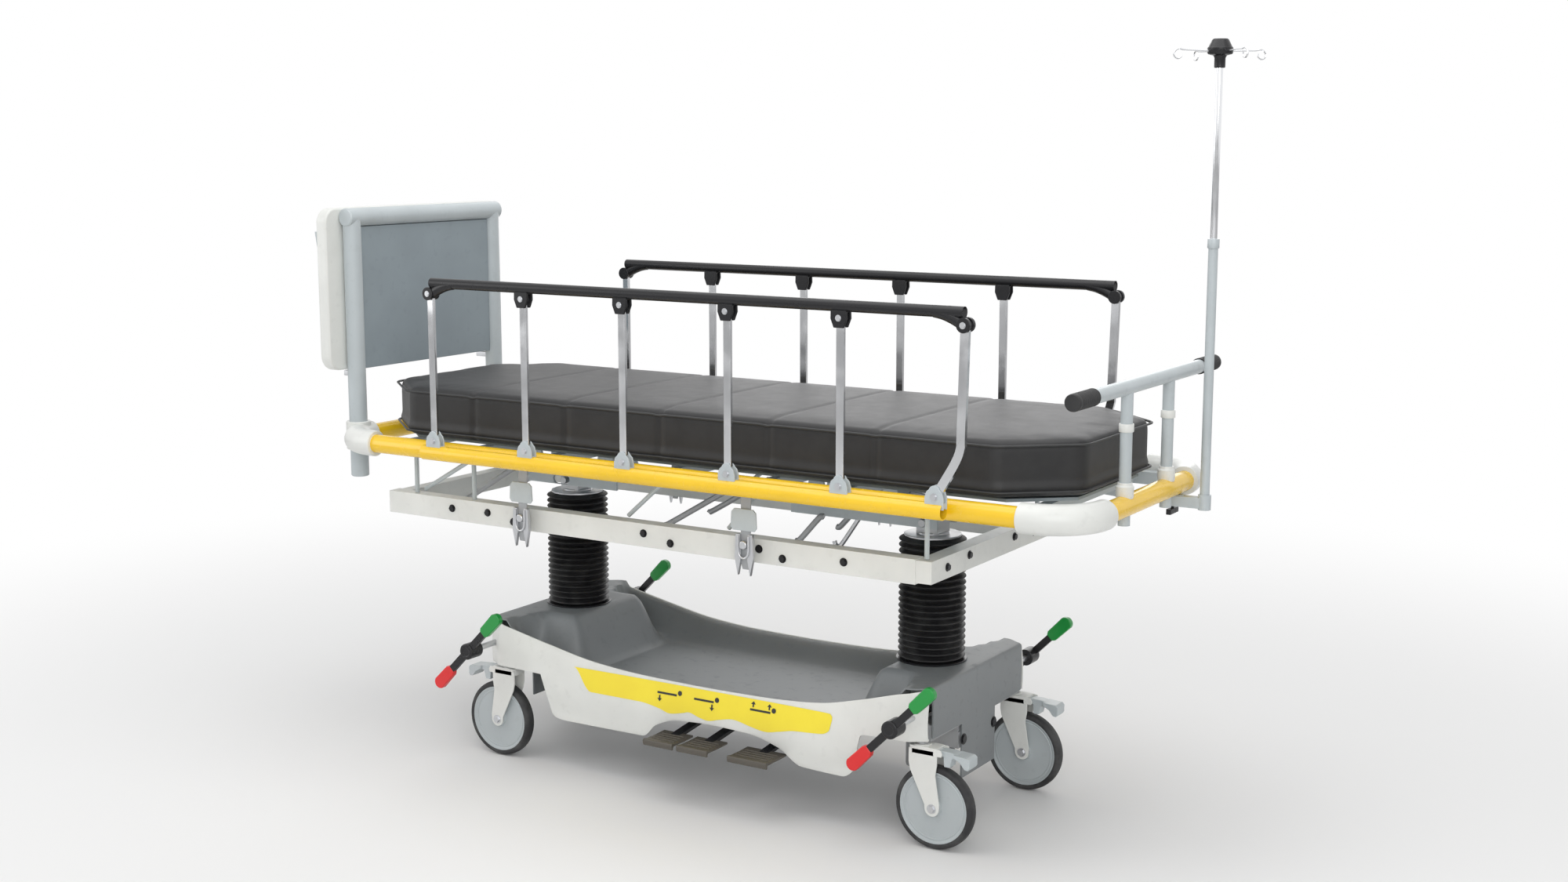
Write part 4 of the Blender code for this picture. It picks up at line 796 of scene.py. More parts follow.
def make_casters():
    for end, swivel, way in SWIVELS:
        for name, side in SIDES:
            tag = f"caster_{end}_{name}"
            form = fork_form()
            place_caster(form, swivel, side, way)
            piece(f"{tag}_yoke", form, "cot_white", f"{tag}_fork", (f"{tag}_fork",), bevel=0.0012)
            for kind, form, finish in zip(("tyre", "disc"), wheel_forms(), ("cot_tyre", "cot_wheel_disc")):
                place_caster(form, swivel, side, way)
                stands = (f"{tag}_wheel",) if kind == "tyre" else ()
                piece(f"{tag}_{kind}", form, finish, f"{tag}_wheel", stands)
            form = toe_form()
            place_caster(form, swivel, side, way)
            piece(f"{tag}_toe_lever", form, "cot_light_grey", f"{tag}_toe_brake", (f"{tag}_toe_brake",),
                  bevel=0.0022, steps=3)
            x = swivel + way * TRAIL
            spots = [((x, side * CASTER_Y + out * 0.0218, WHEEL_R), (0, out, 0)) for out in (-1, 1)]
            screws(f"{tag}_axle_nuts", spots, "cot_zinc", f"{tag}_fork", 0.0085, 0.0045)


# ---------------------------------------------------------------- brake levers and pedals
def make_brake_levers():
    for name, x in (("foot", -0.630), ("head", 0.615)):
        body = f"brake_bar_{name}"
        form = bmesh.new()
        sweep(form, [(x, -0.352, BRAKE_Z), (x, 0.352, BRAKE_Z)], 0.008, 20)
        piece(f"{body}_shaft", form, "cot_zinc", body, (body,))
        form = bmesh.new()
        for _, side in SIDES:
            lathe(form, [(0, 0.3350), (0.0195, 0.3350), (0.0210, 0.3370), (0.0210, 0.3600), (0.0210, 0.3780),
                         (0.0190, 0.3800), (0.0125, 0.3808), (0.0110, 0.3795), (0, 0.3795)],
                  (x, 0, BRAKE_Z), (0, side, 0), 36)
            low, high = sorted((side * 0.3635, side * 0.3765))
            arms = slab(form, round_box((-0.088, -0.0090), (0.088, 0.0090), 0.003, 3), low, high)
            lean = Matrix.Translation((x, 0, BRAKE_Z)) @ Matrix.Rotation(-math.radians(45), 4, "Y")
            bmesh.ops.transform(form, matrix=lean, verts=arms)
        piece(f"{body}_hubs", form, "cot_black", body, bevel=0.0012)
        for colour, way in (("green", 1), ("red", -1)):
            form = bmesh.new()
            for _, side in SIDES:
                low, high = sorted((side * 0.3625, side * 0.3775))
                outline = [(0.076, -0.0100), (0.084, -0.0150)]
                outline += arc((0.1345, 0.000), 0.0170, -75, 75, 8)
                outline += [(0.084, 0.0150), (0.076, 0.0100)]
                made = slab(form, [(way * a, b) for a, b in outline], low - 0.0008, high + 0.0008)
                lean = Matrix.Translation((x, 0, BRAKE_Z)) @ Matrix.Rotation(-math.radians(45), 4, "Y")
                bmesh.ops.transform(form, matrix=lean, verts=made)
            piece(f"{body}_lever_{colour}", form, f"cot_{colour}", body, bevel=0.0028, steps=3)


def make_pedals():
    axle_y, axle_z = PEDAL_AXLE
    for name, low, high in (("foot_down", -0.088, 0.0), ("head_down", 0.012, 0.102), ("raise", 0.160, 0.272)):
        middle = (low + high) / 2
        body = f"pedal_{name}"
        section = [(-0.262, 0.1625), (-0.300, 0.1612), (-0.335, 0.1615), (-0.3475, 0.1640), (-0.3520, 0.1645),
                   (-0.3550, 0.1610), (-0.3545, 0.1530), (-0.3520, 0.1478), (-0.3485, 0.1480), (-0.3480, 0.1530),
                   (-0.3450, 0.1565), (-0.300, 0.1560), (-0.262, 0.1570)]
        form = bmesh.new()
        slab(form, section, low, high, "YZ")
        piece(f"{body}_plate", form, "cot_pedal", body, (body,), bevel=0.0016, steps=3, angle=50)
        # raised grip ribs along the plate
        form = bmesh.new()
        for y in (-0.328, -0.314, -0.300, -0.286):
            sweep(form, [(low + 0.010, y, 0.1617), (high - 0.010, y, 0.1617)], 0.0017, 10)
        piece(f"{body}_ribs", form, "cot_pedal", body)
        form = bmesh.new()
        slab(form, [(-0.312, 0.1505), (-0.300, 0.1500), (-0.180, 0.1640), (axle_y - 0.010, axle_z - 0.013),
                    (axle_y + 0.008, axle_z - 0.006), (axle_y, axle_z + 0.008), (-0.175, 0.1745),
                    (-0.298, 0.1598), (-0.312, 0.1570)], middle - 0.013, middle + 0.013, "YZ")
        lathe(form, [(0.0075, -0.020), (0.0145, -0.020), (0.0145, 0.020), (0.0075, 0.020)],
              (middle, axle_y, axle_z), (1, 0, 0), 28)
        piece(f"{body}_arm", form, "cot_black", body, bevel=0.0012)


# ---------------------------------------------------------------- columns
def bellows_part(name, x, low, high, folds):
    """A stretch of pleated sleeve that grows along a line."""
    made = seed_object(name)
    look = bpy.context.scene.cot_sizes
    tree = Growth(name, Folds=folds, Crest_Radius=look.bellows_crest, Valley_Radius=look.bellows_valley)
    line = tree.node("GeometryNodeCurvePrimitiveLine", None, {"Start": (x, 0, low), "End": (x, 0, high)})
    count = tree.maths("ADD", tree.maths("MULTIPLY", tree.given("Folds"), 12), 1)
    fine = tree.node("GeometryNodeResampleCurve", None, {"Curve": line.outputs[0], "Count": count})
    share = tree.node("GeometryNodeSplineParameter").outputs["Factor"]
    turns = tree.maths("MULTIPLY", tree.maths("MULTIPLY", share, tree.given("Folds")), math.tau)
    wave = tree.maths("COSINE", turns)
    rise = tree.maths("POWER", tree.maths("MULTIPLY_ADD", wave, -0.5, 0.5), 0.8)
    depth = tree.maths("SUBTRACT", tree.given("Crest Radius"), tree.given("Valley Radius"))
    radius = tree.maths("MULTIPLY_ADD", rise, depth, tree.given("Valley Radius"))
    shaped = tree.node("GeometryNodeSetCurveRadius", None, {"Curve": fine.outputs[0], "Radius": radius})
    ring = tree.node("GeometryNodeCurvePrimitiveCircle", None, {"Resolution": 48, "Radius": 1.0})
    swept = tree.node("GeometryNodeCurveToMesh", None,
                      {"Curve": shaped.outputs[0], "Profile Curve": ring.outputs[0], "Fill Caps": True})
    if "Scale" in swept.inputs:
        tree.group.links.new(radius, swept.inputs["Scale"])
    return tree.grow(made, swept.outputs[0], "cot_bellows")


def make_columns():
    look = bpy.context.scene.cot_sizes
    low, high = BELLOWS_Z
    split = (low + high) / 2
    folds = look.bellows_folds
    for name, x in COLUMNS:
        lower = bellows_part(f"bellows_{name}_lower", x, low, split, folds // 2)
        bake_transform(lower)
        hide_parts(f"bellows_{name}")
        upper = bellows_part(f"bellows_{name}_upper", x, split, high, folds // 2)
        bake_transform(upper)
        form = bmesh.new()
        lathe(form, [(0.0735, 0.3765), (0.0860, 0.3765), (0.0865, 0.3785), (0.0850, 0.3800), (0.0735, 0.3805)],
              (x, 0, 0), sides=56)
        piece(f"bellows_{name}_foot_ring", form, "cot_black", "base")
        repaint(f"column_{name}_middle", "cot_steel")
        softened(f"column_{name}_ram", "cot_zinc", f"column_{name}_ram", 0.0010)


# ---------------------------------------------------------------- subframe
def latch(side, x_top, x_foot, z_top, z_foot):
    """A hanging strap, its raised plate, catch, pin and pointed fins, on one side."""
    y = side * 0.332
    forms = {kind: bmesh.new() for kind in ("strap", "plate", "catch")}

    def across(low, high):
        return sorted((y + side * low, y + side * high))
    slab(forms["strap"], [(x_top - 0.014, z_top), (x_top + 0.014, z_top), (x_foot + 0.013, z_foot + 0.020),
                          (x_foot + 0.008, z_foot), (x_foot - 0.008, z_foot), (x_foot - 0.013, z_foot + 0.020)],
         *across(0.000, 0.0035))
    mid_z = z_top - 0.055
    slab(forms["plate"], [(x_top - 0.040, mid_z - 0.020), (x_top - 0.034, mid_z - 0.028),
                          (x_top + 0.026, mid_z - 0.028), (x_top + 0.032, mid_z - 0.020),
                          (x_top + 0.030, mid_z + 0.016), (x_top + 0.022, mid_z + 0.024),
                          (x_top - 0.030, mid_z + 0.024), (x_top - 0.038, mid_z + 0.016)],
         *across(0.0038, 0.0085))
    for shift in (-0.017, 0.017):
        slab(forms["catch"], [(x_foot + shift - 0.006, z_foot + 0.085), (x_foot + shift + 0.006, z_foot + 0.085),
                              (x_foot + shift + 0.009, z_foot + 0.030), (x_foot + shift, z_foot - 0.014),
                              (x_foot + shift - 0.009, z_foot + 0.030)], *across(0.0005, 0.0105))
    lathe(forms["catch"], [(0, -0.002), (0.0095, -0.002), (0.0105, 0.000), (0.0105, 0.012), (0.0085, 0.0145),
                           (0, 0.0145)], (x_foot, y + side * 0.002, z_foot + 0.060), (0, side, 0), 28)
    sweep(forms["catch"], curve_through([(x_foot - 0.014, y + side * 0.012, z_foot + 0.082),
                                         (x_foot - 0.013, y + side * 0.012, z_foot + 0.040),
                                         (x_foot, y + side * 0.012, z_foot + 0.028),
                                         (x_foot + 0.013, y + side * 0.012, z_foot + 0.040),
                                         (x_foot + 0.014, y + side * 0.012, z_foot + 0.082)]), 0.0028, 12)
    return forms


def make_subframe():
    softened("subframe", "cot_white", "deck", 0.0030, "subframe_beams")
    near = ((-0.725, 0.666), (-0.605, 0.667), (-0.520, 0.652), (-0.475, 0.668), (-0.110, 0.668), (-0.030, 0.652),
            (0.225, 0.668), (0.290, 0.652), (0.455, 0.664))
    spots = [((x, side * BEAM_Y, z), (0, side, 0)) for x, z in near for _, side in SIDES]
    screws("beam_bolts", spots, "cot_black", "deck")
    spots = [((0.680, y, z), (1, 0, 0)) for y, z in ((-0.230, 0.664), (-0.120, 0.672), (0.120, 0.672), (0.230, 0.664))]
    screws("end_beam_bolts", spots, "cot_black", "deck")
    for name, side in SIDES:
        for place, points in (("foot", (-0.465, -0.470, 0.795, 0.613)), ("head", (0.205, 0.203, 0.797, 0.621))):
            for kind, form in latch(side, *points).items():
                finish = {"strap": "cot_steel", "plate": "cot_light_grey", "catch": "cot_zinc"}[kind]
                piece(f"latch_{name}_{place}_{kind}", form, finish, "deck", bevel=0.0010)
    for name, ends in (("foot", ((-0.847, 0.650), (-0.706, 0.736))), ("middle", ((-0.179, 0.650), (-0.022, 0.741))),
                       ("head", ((0.208, 0.650), (0.264, 0.711)))):
        form = bmesh.new()
        for _, side in SIDES:
            (x0, z0), (x1, z1) = ends
            sweep(form, curve_through([(x0 - 0.012, side * 0.100, z0 - 0.003), (x0, side * 0.100, z0),
                                       (x1, side * 0.100, z1), (x1 + 0.012, side * 0.100, z1 + 0.003)], 4), 0.0075, 16)
        piece(f"brace_{name}", form, "cot_steel", "deck")
    form = bmesh.new()
    sweep(form, curve_through([(0.330, 0, 0.712), (0.322, 0, 0.704), (0.300, 0, 0.672), (0.272, 0, 0.632),
                               (0.262, 0, 0.622), (0.252, 0, 0.624), (0.248, 0, 0.634)]), 0.006, 16)
    piece("release_rod", form, "cot_zinc", "deck")
    form = bmesh.new()
    slab(form, [(0.285, 0.722), (0.335, 0.722), (0.330, 0.712), (0.312, 0.700), (0.300, 0.700)], -0.014, 0.014)
    piece("release_rod_bracket", form, "cot_light_grey", "deck", bevel=0.0015)


# ---------------------------------------------------------------- deck
def bend_points(x_end, way, side, steps=16):
    centre = (x_end - way * BEND_R, side * (SIDE_Y - BEND_R))
    return [(centre[0] + way * BEND_R * math.sin(math.radians(90 * i / steps)),
             centre[1] + side * BEND_R * math.cos(math.radians(90 * i / steps)), TUBE_Z) for i in range(steps + 1)]


def make_bumper():
    loop = []
    for x_end, way, side in ((HEAD_X, 1, -1), (HEAD_X, 1, 1), (FOOT_X, -1, 1), (FOOT_X, -1, -1)):
        bend = bend_points(x_end, way, side)
        loop += bend if way * side < 0 else bend[::-1]
    form = bmesh.new()
    sweep(form, loop, TUBE_R, 32, closed=True)
    piece("bumper_tube", form, "cot_yellow", "deck", ("bumper_frame",))
    form = bmesh.new()
    for x_end, way in ((HEAD_X, 1), (FOOT_X, -1)):
        for _, side in SIDES:
            bend = bend_points(x_end, way, side, 14)
            lead = [(bend[0][0] - way * 0.018, bend[0][1], TUBE_Z), (bend[0][0] - way * 0.016, bend[0][1], TUBE_Z)]
            tail = [(bend[-1][0], bend[-1][1] - side * 0.003, TUBE_Z), (bend[-1][0], bend[-1][1] - side * 0.004, TUBE_Z)]
            path = lead + bend + tail
            radii = [0.0315, 0.0340] + [0.0340] * len(bend) + [0.0340, 0.0320]
            sweep(form, path, radii, 32)
    piece("corner_fittings", form, "cot_white", "deck")
    form = bmesh.new()
    for _, side in SIDES:
        lathe(form, [(0.0245, -0.037), (0.0315, -0.037), (0.0330, -0.0355), (0.0330, 0.0365), (0.0315, 0.038),
                     (0.0245, 0.038)], (BOARD_X, side * BOARD_Y, TUBE_Z), sides=40)
    piece("board_sockets", form, "cot_white", "deck")


def make_deck():
    softened("deck_frame", "cot_light_grey", "deck", 0.0012)
    make_bumper()
    softened("deck_panel", "cot_panel", "deck", 0.0020)
    softened("backrest_panel", "cot_panel", "backrest", 0.0016)
    softened("backrest_stay", "cot_zinc", "backrest_stay", 0.0014)


# ---------------------------------------------------------------- mattress
def mattress_outline(inset=0.0):
    (x0, y0, _), (x1, y1, _) = MATTRESS_LOW, MATTRESS_HIGH
    run, rise = MATTRESS_CUT
    x0, y0, x1, y1 = x0 + inset, y0 + inset, x1 - inset, y1 - inset
    return [(x0 + run, y0), (x1 - run, y0), (x1, y0 + rise), (x1, y1 - rise), (x1 - run, y1), (x0 + run, y1),
            (x0, y1 - rise), (x0, y0 + rise)]


def eased(outline, radius, steps=5):
    """The outline with its corners rounded."""
    made = []
    for i, corner in enumerate(outline):
        corner = Vector(corner)
        before = (Vector(outline[i - 1]) - corner).normalized() * radius
        after = (Vector(outline[(i + 1) % len(outline)]) - corner).normalized() * radius
        for k in range(steps + 1):
            t = k / steps
            made.append(tuple(corner + before * (1 - t) ** 2 + after * t * t))
    return made


def make_mattress():
    look = bpy.context.scene.cot_sizes
    low, high = MATTRESS_LOW[2] + 0.003, MATTRESS_HIGH[2] - 0.004
    form = bmesh.new()
    levels = ((0.012, low), (0.003, low + 0.007), (0.000, low + 0.018), (0.000, high - 0.018),
              (0.003, high - 0.007), (0.012, high))
    rows = []
    for inset, z in levels:
        outline = eased(mattress_outline(0.006 + inset * 0.7), 0.016)
        rows.append([form.verts.new((x, y, z)) for x, y in outline])
    for row, after in zip(rows, rows[1:]):
        for k in range(len(row)):
            j = (k + 1) % len(row)
            form.faces.new((row[k], row[j], after[j], after[k]))
    form.faces.new(reversed(rows[0]))
    form.faces.new(rows[-1])
    made = seed_object("mattress")
    bmesh.ops.recalc_face_normals(form, faces=form.faces)
    form.to_mesh(made.data)
    form.free()
    change = made.modifiers.new("even", "REMESH")
    change.mode = "VOXEL"
    change.voxel_size = 0.010
    plain(made)
    start = [vertex.co.copy() for vertex in made.data.vertices]
    cloth = made.modifiers.new("fill", "CLOTH")
    cloth.settings.quality = 4
    cloth.settings.use_pressure = True
    cloth.settings.uniform_pressure_force = look.mattress_pressure
    cloth.settings.effector_weights.gravity = 0.0
    cloth.settings.tension_stiffness = 30.0
    cloth.settings.compression_stiffness = 30.0
    cloth.settings.shear_stiffness = 12.0
    for number in range(1, 21):
        bpy.context.scene.frame_set(number)
    plain(made)
    bpy.context.scene.frame_set(1)
    for vertex, home in zip(made.data.vertices, start):
        gone = vertex.co - home
        most = look.mattress_swell * (0.25 if home.z < low + 0.03 else 1.0)
        if gone.length > most:
            vertex.co = home + gone * (most / gone.length)
    smooth = made.modifiers.new("smooth", "SUBSURF")
    smooth.levels = smooth.render_levels = 1
    plain(made)
    seams(made)
    made.data.shade_smooth()
    made.data.materials.clear()
    made.data.materials.append(finishes()["cot_mattress"])
    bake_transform(made)
    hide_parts("mattress_seat", "mattress_back")
    make_piping()


SEAM_X = (-0.639, -0.341, -0.055, 0.255, 0.539)


def seams(made):
    """Sewn channels across the top and down the sides."""
    look = bpy.context.scene.cot_sizes
    middle = (MATTRESS_LOW[2] + MATTRESS_HIGH[2]) / 2
    for vertex in made.data.vertices:
        x, y, z = vertex.co
        pull = sum(math.exp(-((x - seam) / look.seam_width) ** 2) for seam in SEAM_X) * look.seam_depth
        top = smooth_step((z - middle) / 0.03)
        vertex.co.z -= pull * top * 0.45
        vertex.co.y -= math.copysign(pull * 0.7, y) * smooth_step((abs(y) - 0.28) / 0.03)


def make_piping():
    """A sewn cord round the mattress's top and bottom edges, one closed loop at each."""
    for level, z in (("top", MATTRESS_HIGH[2] - 0.014), ("foot", MATTRESS_LOW[2] + 0.016)):
        outline = eased(mattress_outline(0.0035), 0.018, 6)
        form = bmesh.new()
        fine = []
        for (ax, ay), (bx, by) in zip(outline, outline[1:] + outline[:1]):
            parts = max(1, int(math.hypot(bx - ax, by - ay) / 0.012))
            fine += [(ax + (bx - ax) * k / parts, ay + (by - ay) * k / parts) for k in range(parts)]
        path = []
        for x, y in fine:
            pull = sum(math.exp(-((x - seam) / 0.011) ** 2) for seam in SEAM_X) * 0.0035
            path.append((x, y - math.copysign(pull, y), z - pull * (0.8 if level == "top" else 0)))
        sweep(form, path, 0.0030, 8, closed=True)
        made = piece(f"mattress_piping_{level}", form, "cot_piping", "deck")
        unparented(made)
        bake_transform(made)


def unparented(made):
    made.parent = None
    for key in ("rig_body",):
        if key in made:
            del made[key]


# ---------------------------------------------------------------- side rails
def make_rail_tubes():
    outer = 0.0100
    for name, side in SIDES:
        form = bmesh.new()
        lathe(form, [(0, -0.728), (0.0165, -0.728), (0.0190, -0.7255), (0.0190, 0.7585), (0.0183, 0.760),
                     (0.0160, 0.760), (0.0160, 0.690), (0, 0.690)], (0, side * RAIL_PLANE, RAIL_TUBE_Z), (1, 0, 0), 36)
        piece(f"rail_base_tube_{name}", form, "cot_yellow", "deck", (f"rail_tube_{name}",))
        form = bmesh.new()
        for x in POST_X:
            outline = [(x - 0.023, 0.834), (x + 0.023, 0.834), (x + 0.023, 0.860), (x + 0.019, 0.872)]
            outline += arc((x, 0.873), 0.0135, 20, 160, 8)
            outline += [(x - 0.019, 0.872), (x - 0.023, 0.860)]
            for low, high in ((-outer, -0.0056), (0.0056, outer)):
                slab(form, outline, *sorted((side * (RAIL_PLANE + low), side * (RAIL_PLANE + high))))
            block(form, (x - 0.0215, side * RAIL_PLANE - 0.0095, 0.8365), (x + 0.0215, side * RAIL_PLANE + 0.0095, 0.8485))
        piece(f"rail_brackets_{name}", form, "cot_light_grey", "deck", bevel=0.0014)
        spots = [((x, side * (RAIL_PLANE + outer), POST_FOOT_Z), (0, side, 0)) for x in POST_X]
        screws(f"rail_bracket_bolts_{name}", spots, "cot_zinc", "deck", 0.0065, 0.0035, 20)


def bar_outline(points, half):
    """A flat bar along points, with round ends and eased bends."""
    points = [Vector((x, z)) for x, z in points]
    left, right = [], []
    for i, place in enumerate(points):
        way = (points[min(i + 1, len(points) - 1)] - points[max(i - 1, 0)]).normalized()
        left.append((place.x - way.y * half, place.y + way.x * half))
        right.append((place.x + way.y * half, place.y - way.x * half))
    first, last = points[1] - points[0], points[-1] - points[-2]
    start, end = (math.degrees(math.atan2(way.y, way.x)) for way in (first, last))
    return (arc(points[0], half, start + 90, start + 270, 12) + right[1:-1]
            + arc(points[-1], half, end - 90, end + 90, 12) + left[1:-1][::-1])


def make_posts():
    last = len(POST_X) - 1
    for name, side in SIDES:
        for i, x in enumerate(POST_X):
            line = [(x, POST_FOOT_Z), (x, POST_TOP_Z)]
            if i == last:
                knee = [(x, 0, POST_FOOT_Z), (DOGLEG[0] - 0.014, 0, DOGLEG[1] - 0.030), (DOGLEG[0], 0, DOGLEG[1] + 0.006),
                        (DOGLEG[0] + 0.001, 0, DOGLEG[1] + 0.040), (LAST_TOP_X, 0, POST_TOP_Z)]
                line = [(point.x, point.z) for point in curve_through(knee, 6)]
            form = bmesh.new()
            slab(form, bar_outline(line, 0.0100), side * RAIL_PLANE - 0.0050, side * RAIL_PLANE + 0.0050)
            tag = f"post_{name}_{i}"
            piece(f"{tag}_bar", form, "cot_chrome", tag, (tag,), bevel=0.0024, steps=3)


def make_top_bars():
    first, last = POST_X[0], LAST_TOP_X
    bend = ((0.000, -0.003), (0.012, 0.004), (0.030, 0.013), (0.052, 0.021), (0.078, 0.0255), (0.105, BAR_Z - POST_TOP_Z))
    for name, side in SIDES:
        y = side * RAIL_PLANE
        body = f"top_bar_{name}"
        form = bmesh.new()
        path = [(first + run, y, POST_TOP_Z + rise) for run, rise in bend]
        path += [(last - run, y, POST_TOP_Z + rise) for run, rise in reversed(bend)]
        sweep(form, curve_through(path, 6), 0.0130, 28)
        piece(f"{body}_grab_rail", form, "cot_black", body, (body,))
        form = bmesh.new()
        for x in POST_X[1:-1]:
            outline = [(x - 0.020, 1.2505), (x - 0.0205, 1.2330), (x - 0.0125, 1.2130), (x + 0.0125, 1.2130),
                       (x + 0.0205, 1.2330), (x + 0.020, 1.2505)]
            for low, high in ((-0.0120, -0.0056), (0.0056, 0.0120)):
                slab(form, outline, *sorted((y + side * low, y + side * high)))
            block(form, (x - 0.0185, y - 0.0095, 1.2465), (x + 0.0185, y + 0.0095, 1.2580))
        for x in (first, last):
            for low, high in ((-0.0150, -0.0056), (0.0056, 0.0150)):
                slab(form, arc((x, POST_TOP_Z), 0.0165, 0, 345, 23), *sorted((y + side * low, y + side * high)))
        piece(f"{body}_clamps", form, "cot_black", body, bevel=0.0014)
        tops = list(POST_X[1:-1]) + [first, last]
        reach = [0.0120] * 4 + [0.0150] * 2
        spots = [((x, y + side * out, POST_TOP_Z), (0, side, 0)) for x, out in zip(tops, reach)]
        screws(f"{body}_rivets", spots, "cot_zinc", body, 0.0055, 0.0024, 20)


# ---------------------------------------------------------------- head end
def make_push_handle():
    form = bmesh.new()
    sweep(form, [(HANDLE_X, -0.318, HANDLE_Z), (HANDLE_X, 0.318, HANDLE_Z)], 0.0165, 32)
    for _, side in SIDES:
        sweep(form, [(HANDLE_X, side * 0.124, 0.783), (HANDLE_X, side * 0.124, HANDLE_Z)], 0.0135, 32)
    piece("push_handle_tubes", form, "cot_light_grey", "deck", ("push_handle",))
    form = bmesh.new()
    for _, side in SIDES:
        for z in (0.870, 1.000):
            lathe(form, [(0.0136, -0.0090), (0.0158, -0.0090), (0.0165, -0.0078), (0.0165, 0.0078),
                         (0.0158, 0.0090), (0.0136, 0.0090)], (HANDLE_X, side * 0.124, z), sides=36)
        lathe(form, [(0.0136, -0.016), (0.0190, -0.016), (0.0200, -0.012), (0.0200, 0.010), (0.0136, 0.016)],
              (HANDLE_X, side * 0.124, TUBE_Z + 0.034), sides=36)
    piece("push_handle_collars", form, "cot_white", "deck")
    form = bmesh.new()
    for _, side in SIDES:
        ribs = [(0.0168, 0.3150), (0.0192, 0.3150), (0.0192, 0.3190)]
        for k in range(14):
            y = 0.322 + 0.0063 * k
            ribs += [(0.0178, y), (0.0178, y + 0.0018), (0.0190, y + 0.0028), (0.0190, y + 0.0050)]
        ribs += [(0.0190, 0.4140), (0.0186, 0.4175), (0.0170, 0.4198), (0, 0.4200)]
        lathe(form, [(0, 0.3150)] + ribs, (HANDLE_X, 0, HANDLE_Z), (0, side, 0), 36)
    piece("push_handle_grips", form, "cot_grip", "deck")


def make_drip_pole():
    x, y = POLE
    softened("drip_pole_arm", "cot_light_grey", "deck", 0.0012)
    softened("drip_pole_knob", "cot_black", "drip_pole_knob", 0.0016)
    form = bmesh.new()
    lathe(form, [(0, 0.7775), (0.0110, 0.7775), (0.0110, 1.3740), (0.0130, 1.3750), (0.0136, 1.3765),
                 (0.0136, 1.3945), (0.0128, 1.3960), (0.0085, 1.3965), (0.0085, 1.385), (0, 1.385)], (x, y, 0), sides=32)
    piece("drip_pole_lower_tube", form, "cot_light_grey", "deck", ("drip_pole_lower",))
    form = bmesh.new()
    lathe(form, [(0, 1.172), (0.0072, 1.172), (0.0080, 1.174), (0.0080, 1.782), (0, 1.782)], (x, y, 0), sides=28)
    piece("drip_pole_upper_rod", form, "cot_chrome", "drip_pole_upper", ("drip_pole_upper",))
    form = bmesh.new()
    lathe(form, [(0, -0.014), (0.0110, -0.014), (0.0125, -0.012), (0.0125, 0.008), (0.0150, 0.013), (0.0265, 0.0160),
                 (0.0285, 0.0190), (0.0285, 0.0300), (0.0260, 0.0330), (0.0185, 0.0480), (0.0160, 0.0500), (0, 0.0505)],
          (x, y, POLE_NECK), sides=40)
    piece("drip_pole_head", form, "cot_black", "drip_pole_upper")
    form = bmesh.new()
    for quarter in range(4):
        angle = math.radians(50 + 90 * quarter)
        way = Vector((math.cos(angle), math.sin(angle), 0))
        centre = Vector((x, y, POLE_NECK + 0.023))
        line = [centre + way * reach + Vector((0, 0, rise)) for reach, rise in
                ((0.020, 0.000), (0.055, 0.001), (0.090, 0.002), (0.102, 0.004), (0.111, 0.001), (0.116, -0.007),
                 (0.112, -0.015), (0.104, -0.017), (0.097, -0.012), (0.097, -0.005))]
        sweep(form, curve_through(line, 5), 0.0019, 10)
    piece("drip_pole_hooks", form, "cot_chrome", "drip_pole_upper")


# ---------------------------------------------------------------- foot end
def make_footboard():
    form = bmesh.new()
    for _, side in SIDES:
        lathe(form, [(0, 0.715), (0.0215, 0.715), (0.0240, 0.7175), (0.0240, BOARD_TOP), (0, BOARD_TOP)],
              (BOARD_X, side * BOARD_Y, 0), sides=40)
    reach = BOARD_Y + 0.0245
    lathe(form, [(0, -reach), (0.0215, -reach), (0.0245, -reach + 0.003), (0.0245, reach - 0.003),
                 (0.0215, reach), (0, reach)], (BOARD_X, 0, BOARD_TOP), (0, 1, 0), 40)
    piece("footboard_tubes", form, "cot_light_grey", "deck", ("footboard_frame",))
    form = bmesh.new()
    for _, side in SIDES:
        low, high = sorted((side * 0.262, side * 0.276))
        block(form, (SHELF_X[1] - 0.0255, low, 0.984), (BOARD_X, high, 0.9985))
    piece("shelf_hinge_lugs", form, "cot_zinc", "deck", bevel=0.0015)
    softened("footboard_panel", "cot_panel", "deck", 0.0016)
    form = bmesh.new()
    slab(form, round_box((-0.350, 1.003), (0.350, 1.435), 0.040, 10), *SHELF_X, "YZ")
    piece("footboard_shelf_board", form, "cot_white", "shelf", ("footboard_shelf",), bevel=0.0060, steps=4)
    form = bmesh.new()
    x = SHELF_X[0] - 0.0006
    low, high = POCKET_Z
    section = [(x, low), (x, low + 0.003), (x - 0.0055, low + 0.0075), (x - 0.0522, high), (x - 0.0550, high),
               (x - 0.0085, low + 0.004), (x - 0.0060, low)]
    slab(form, [(a, b) for a, b in section], -0.300, 0.300)
    for _, side in SIDES:
        edge = sorted((side * 0.2970, side * 0.3000))
        slab(form, [(x, low), (x, high), (x - 0.0540, high), (x - 0.0060, low)], *edge)
    piece("document_pocket_shell", form, "cot_light_grey", "shelf", ("document_pocket",), bevel=0.0010)


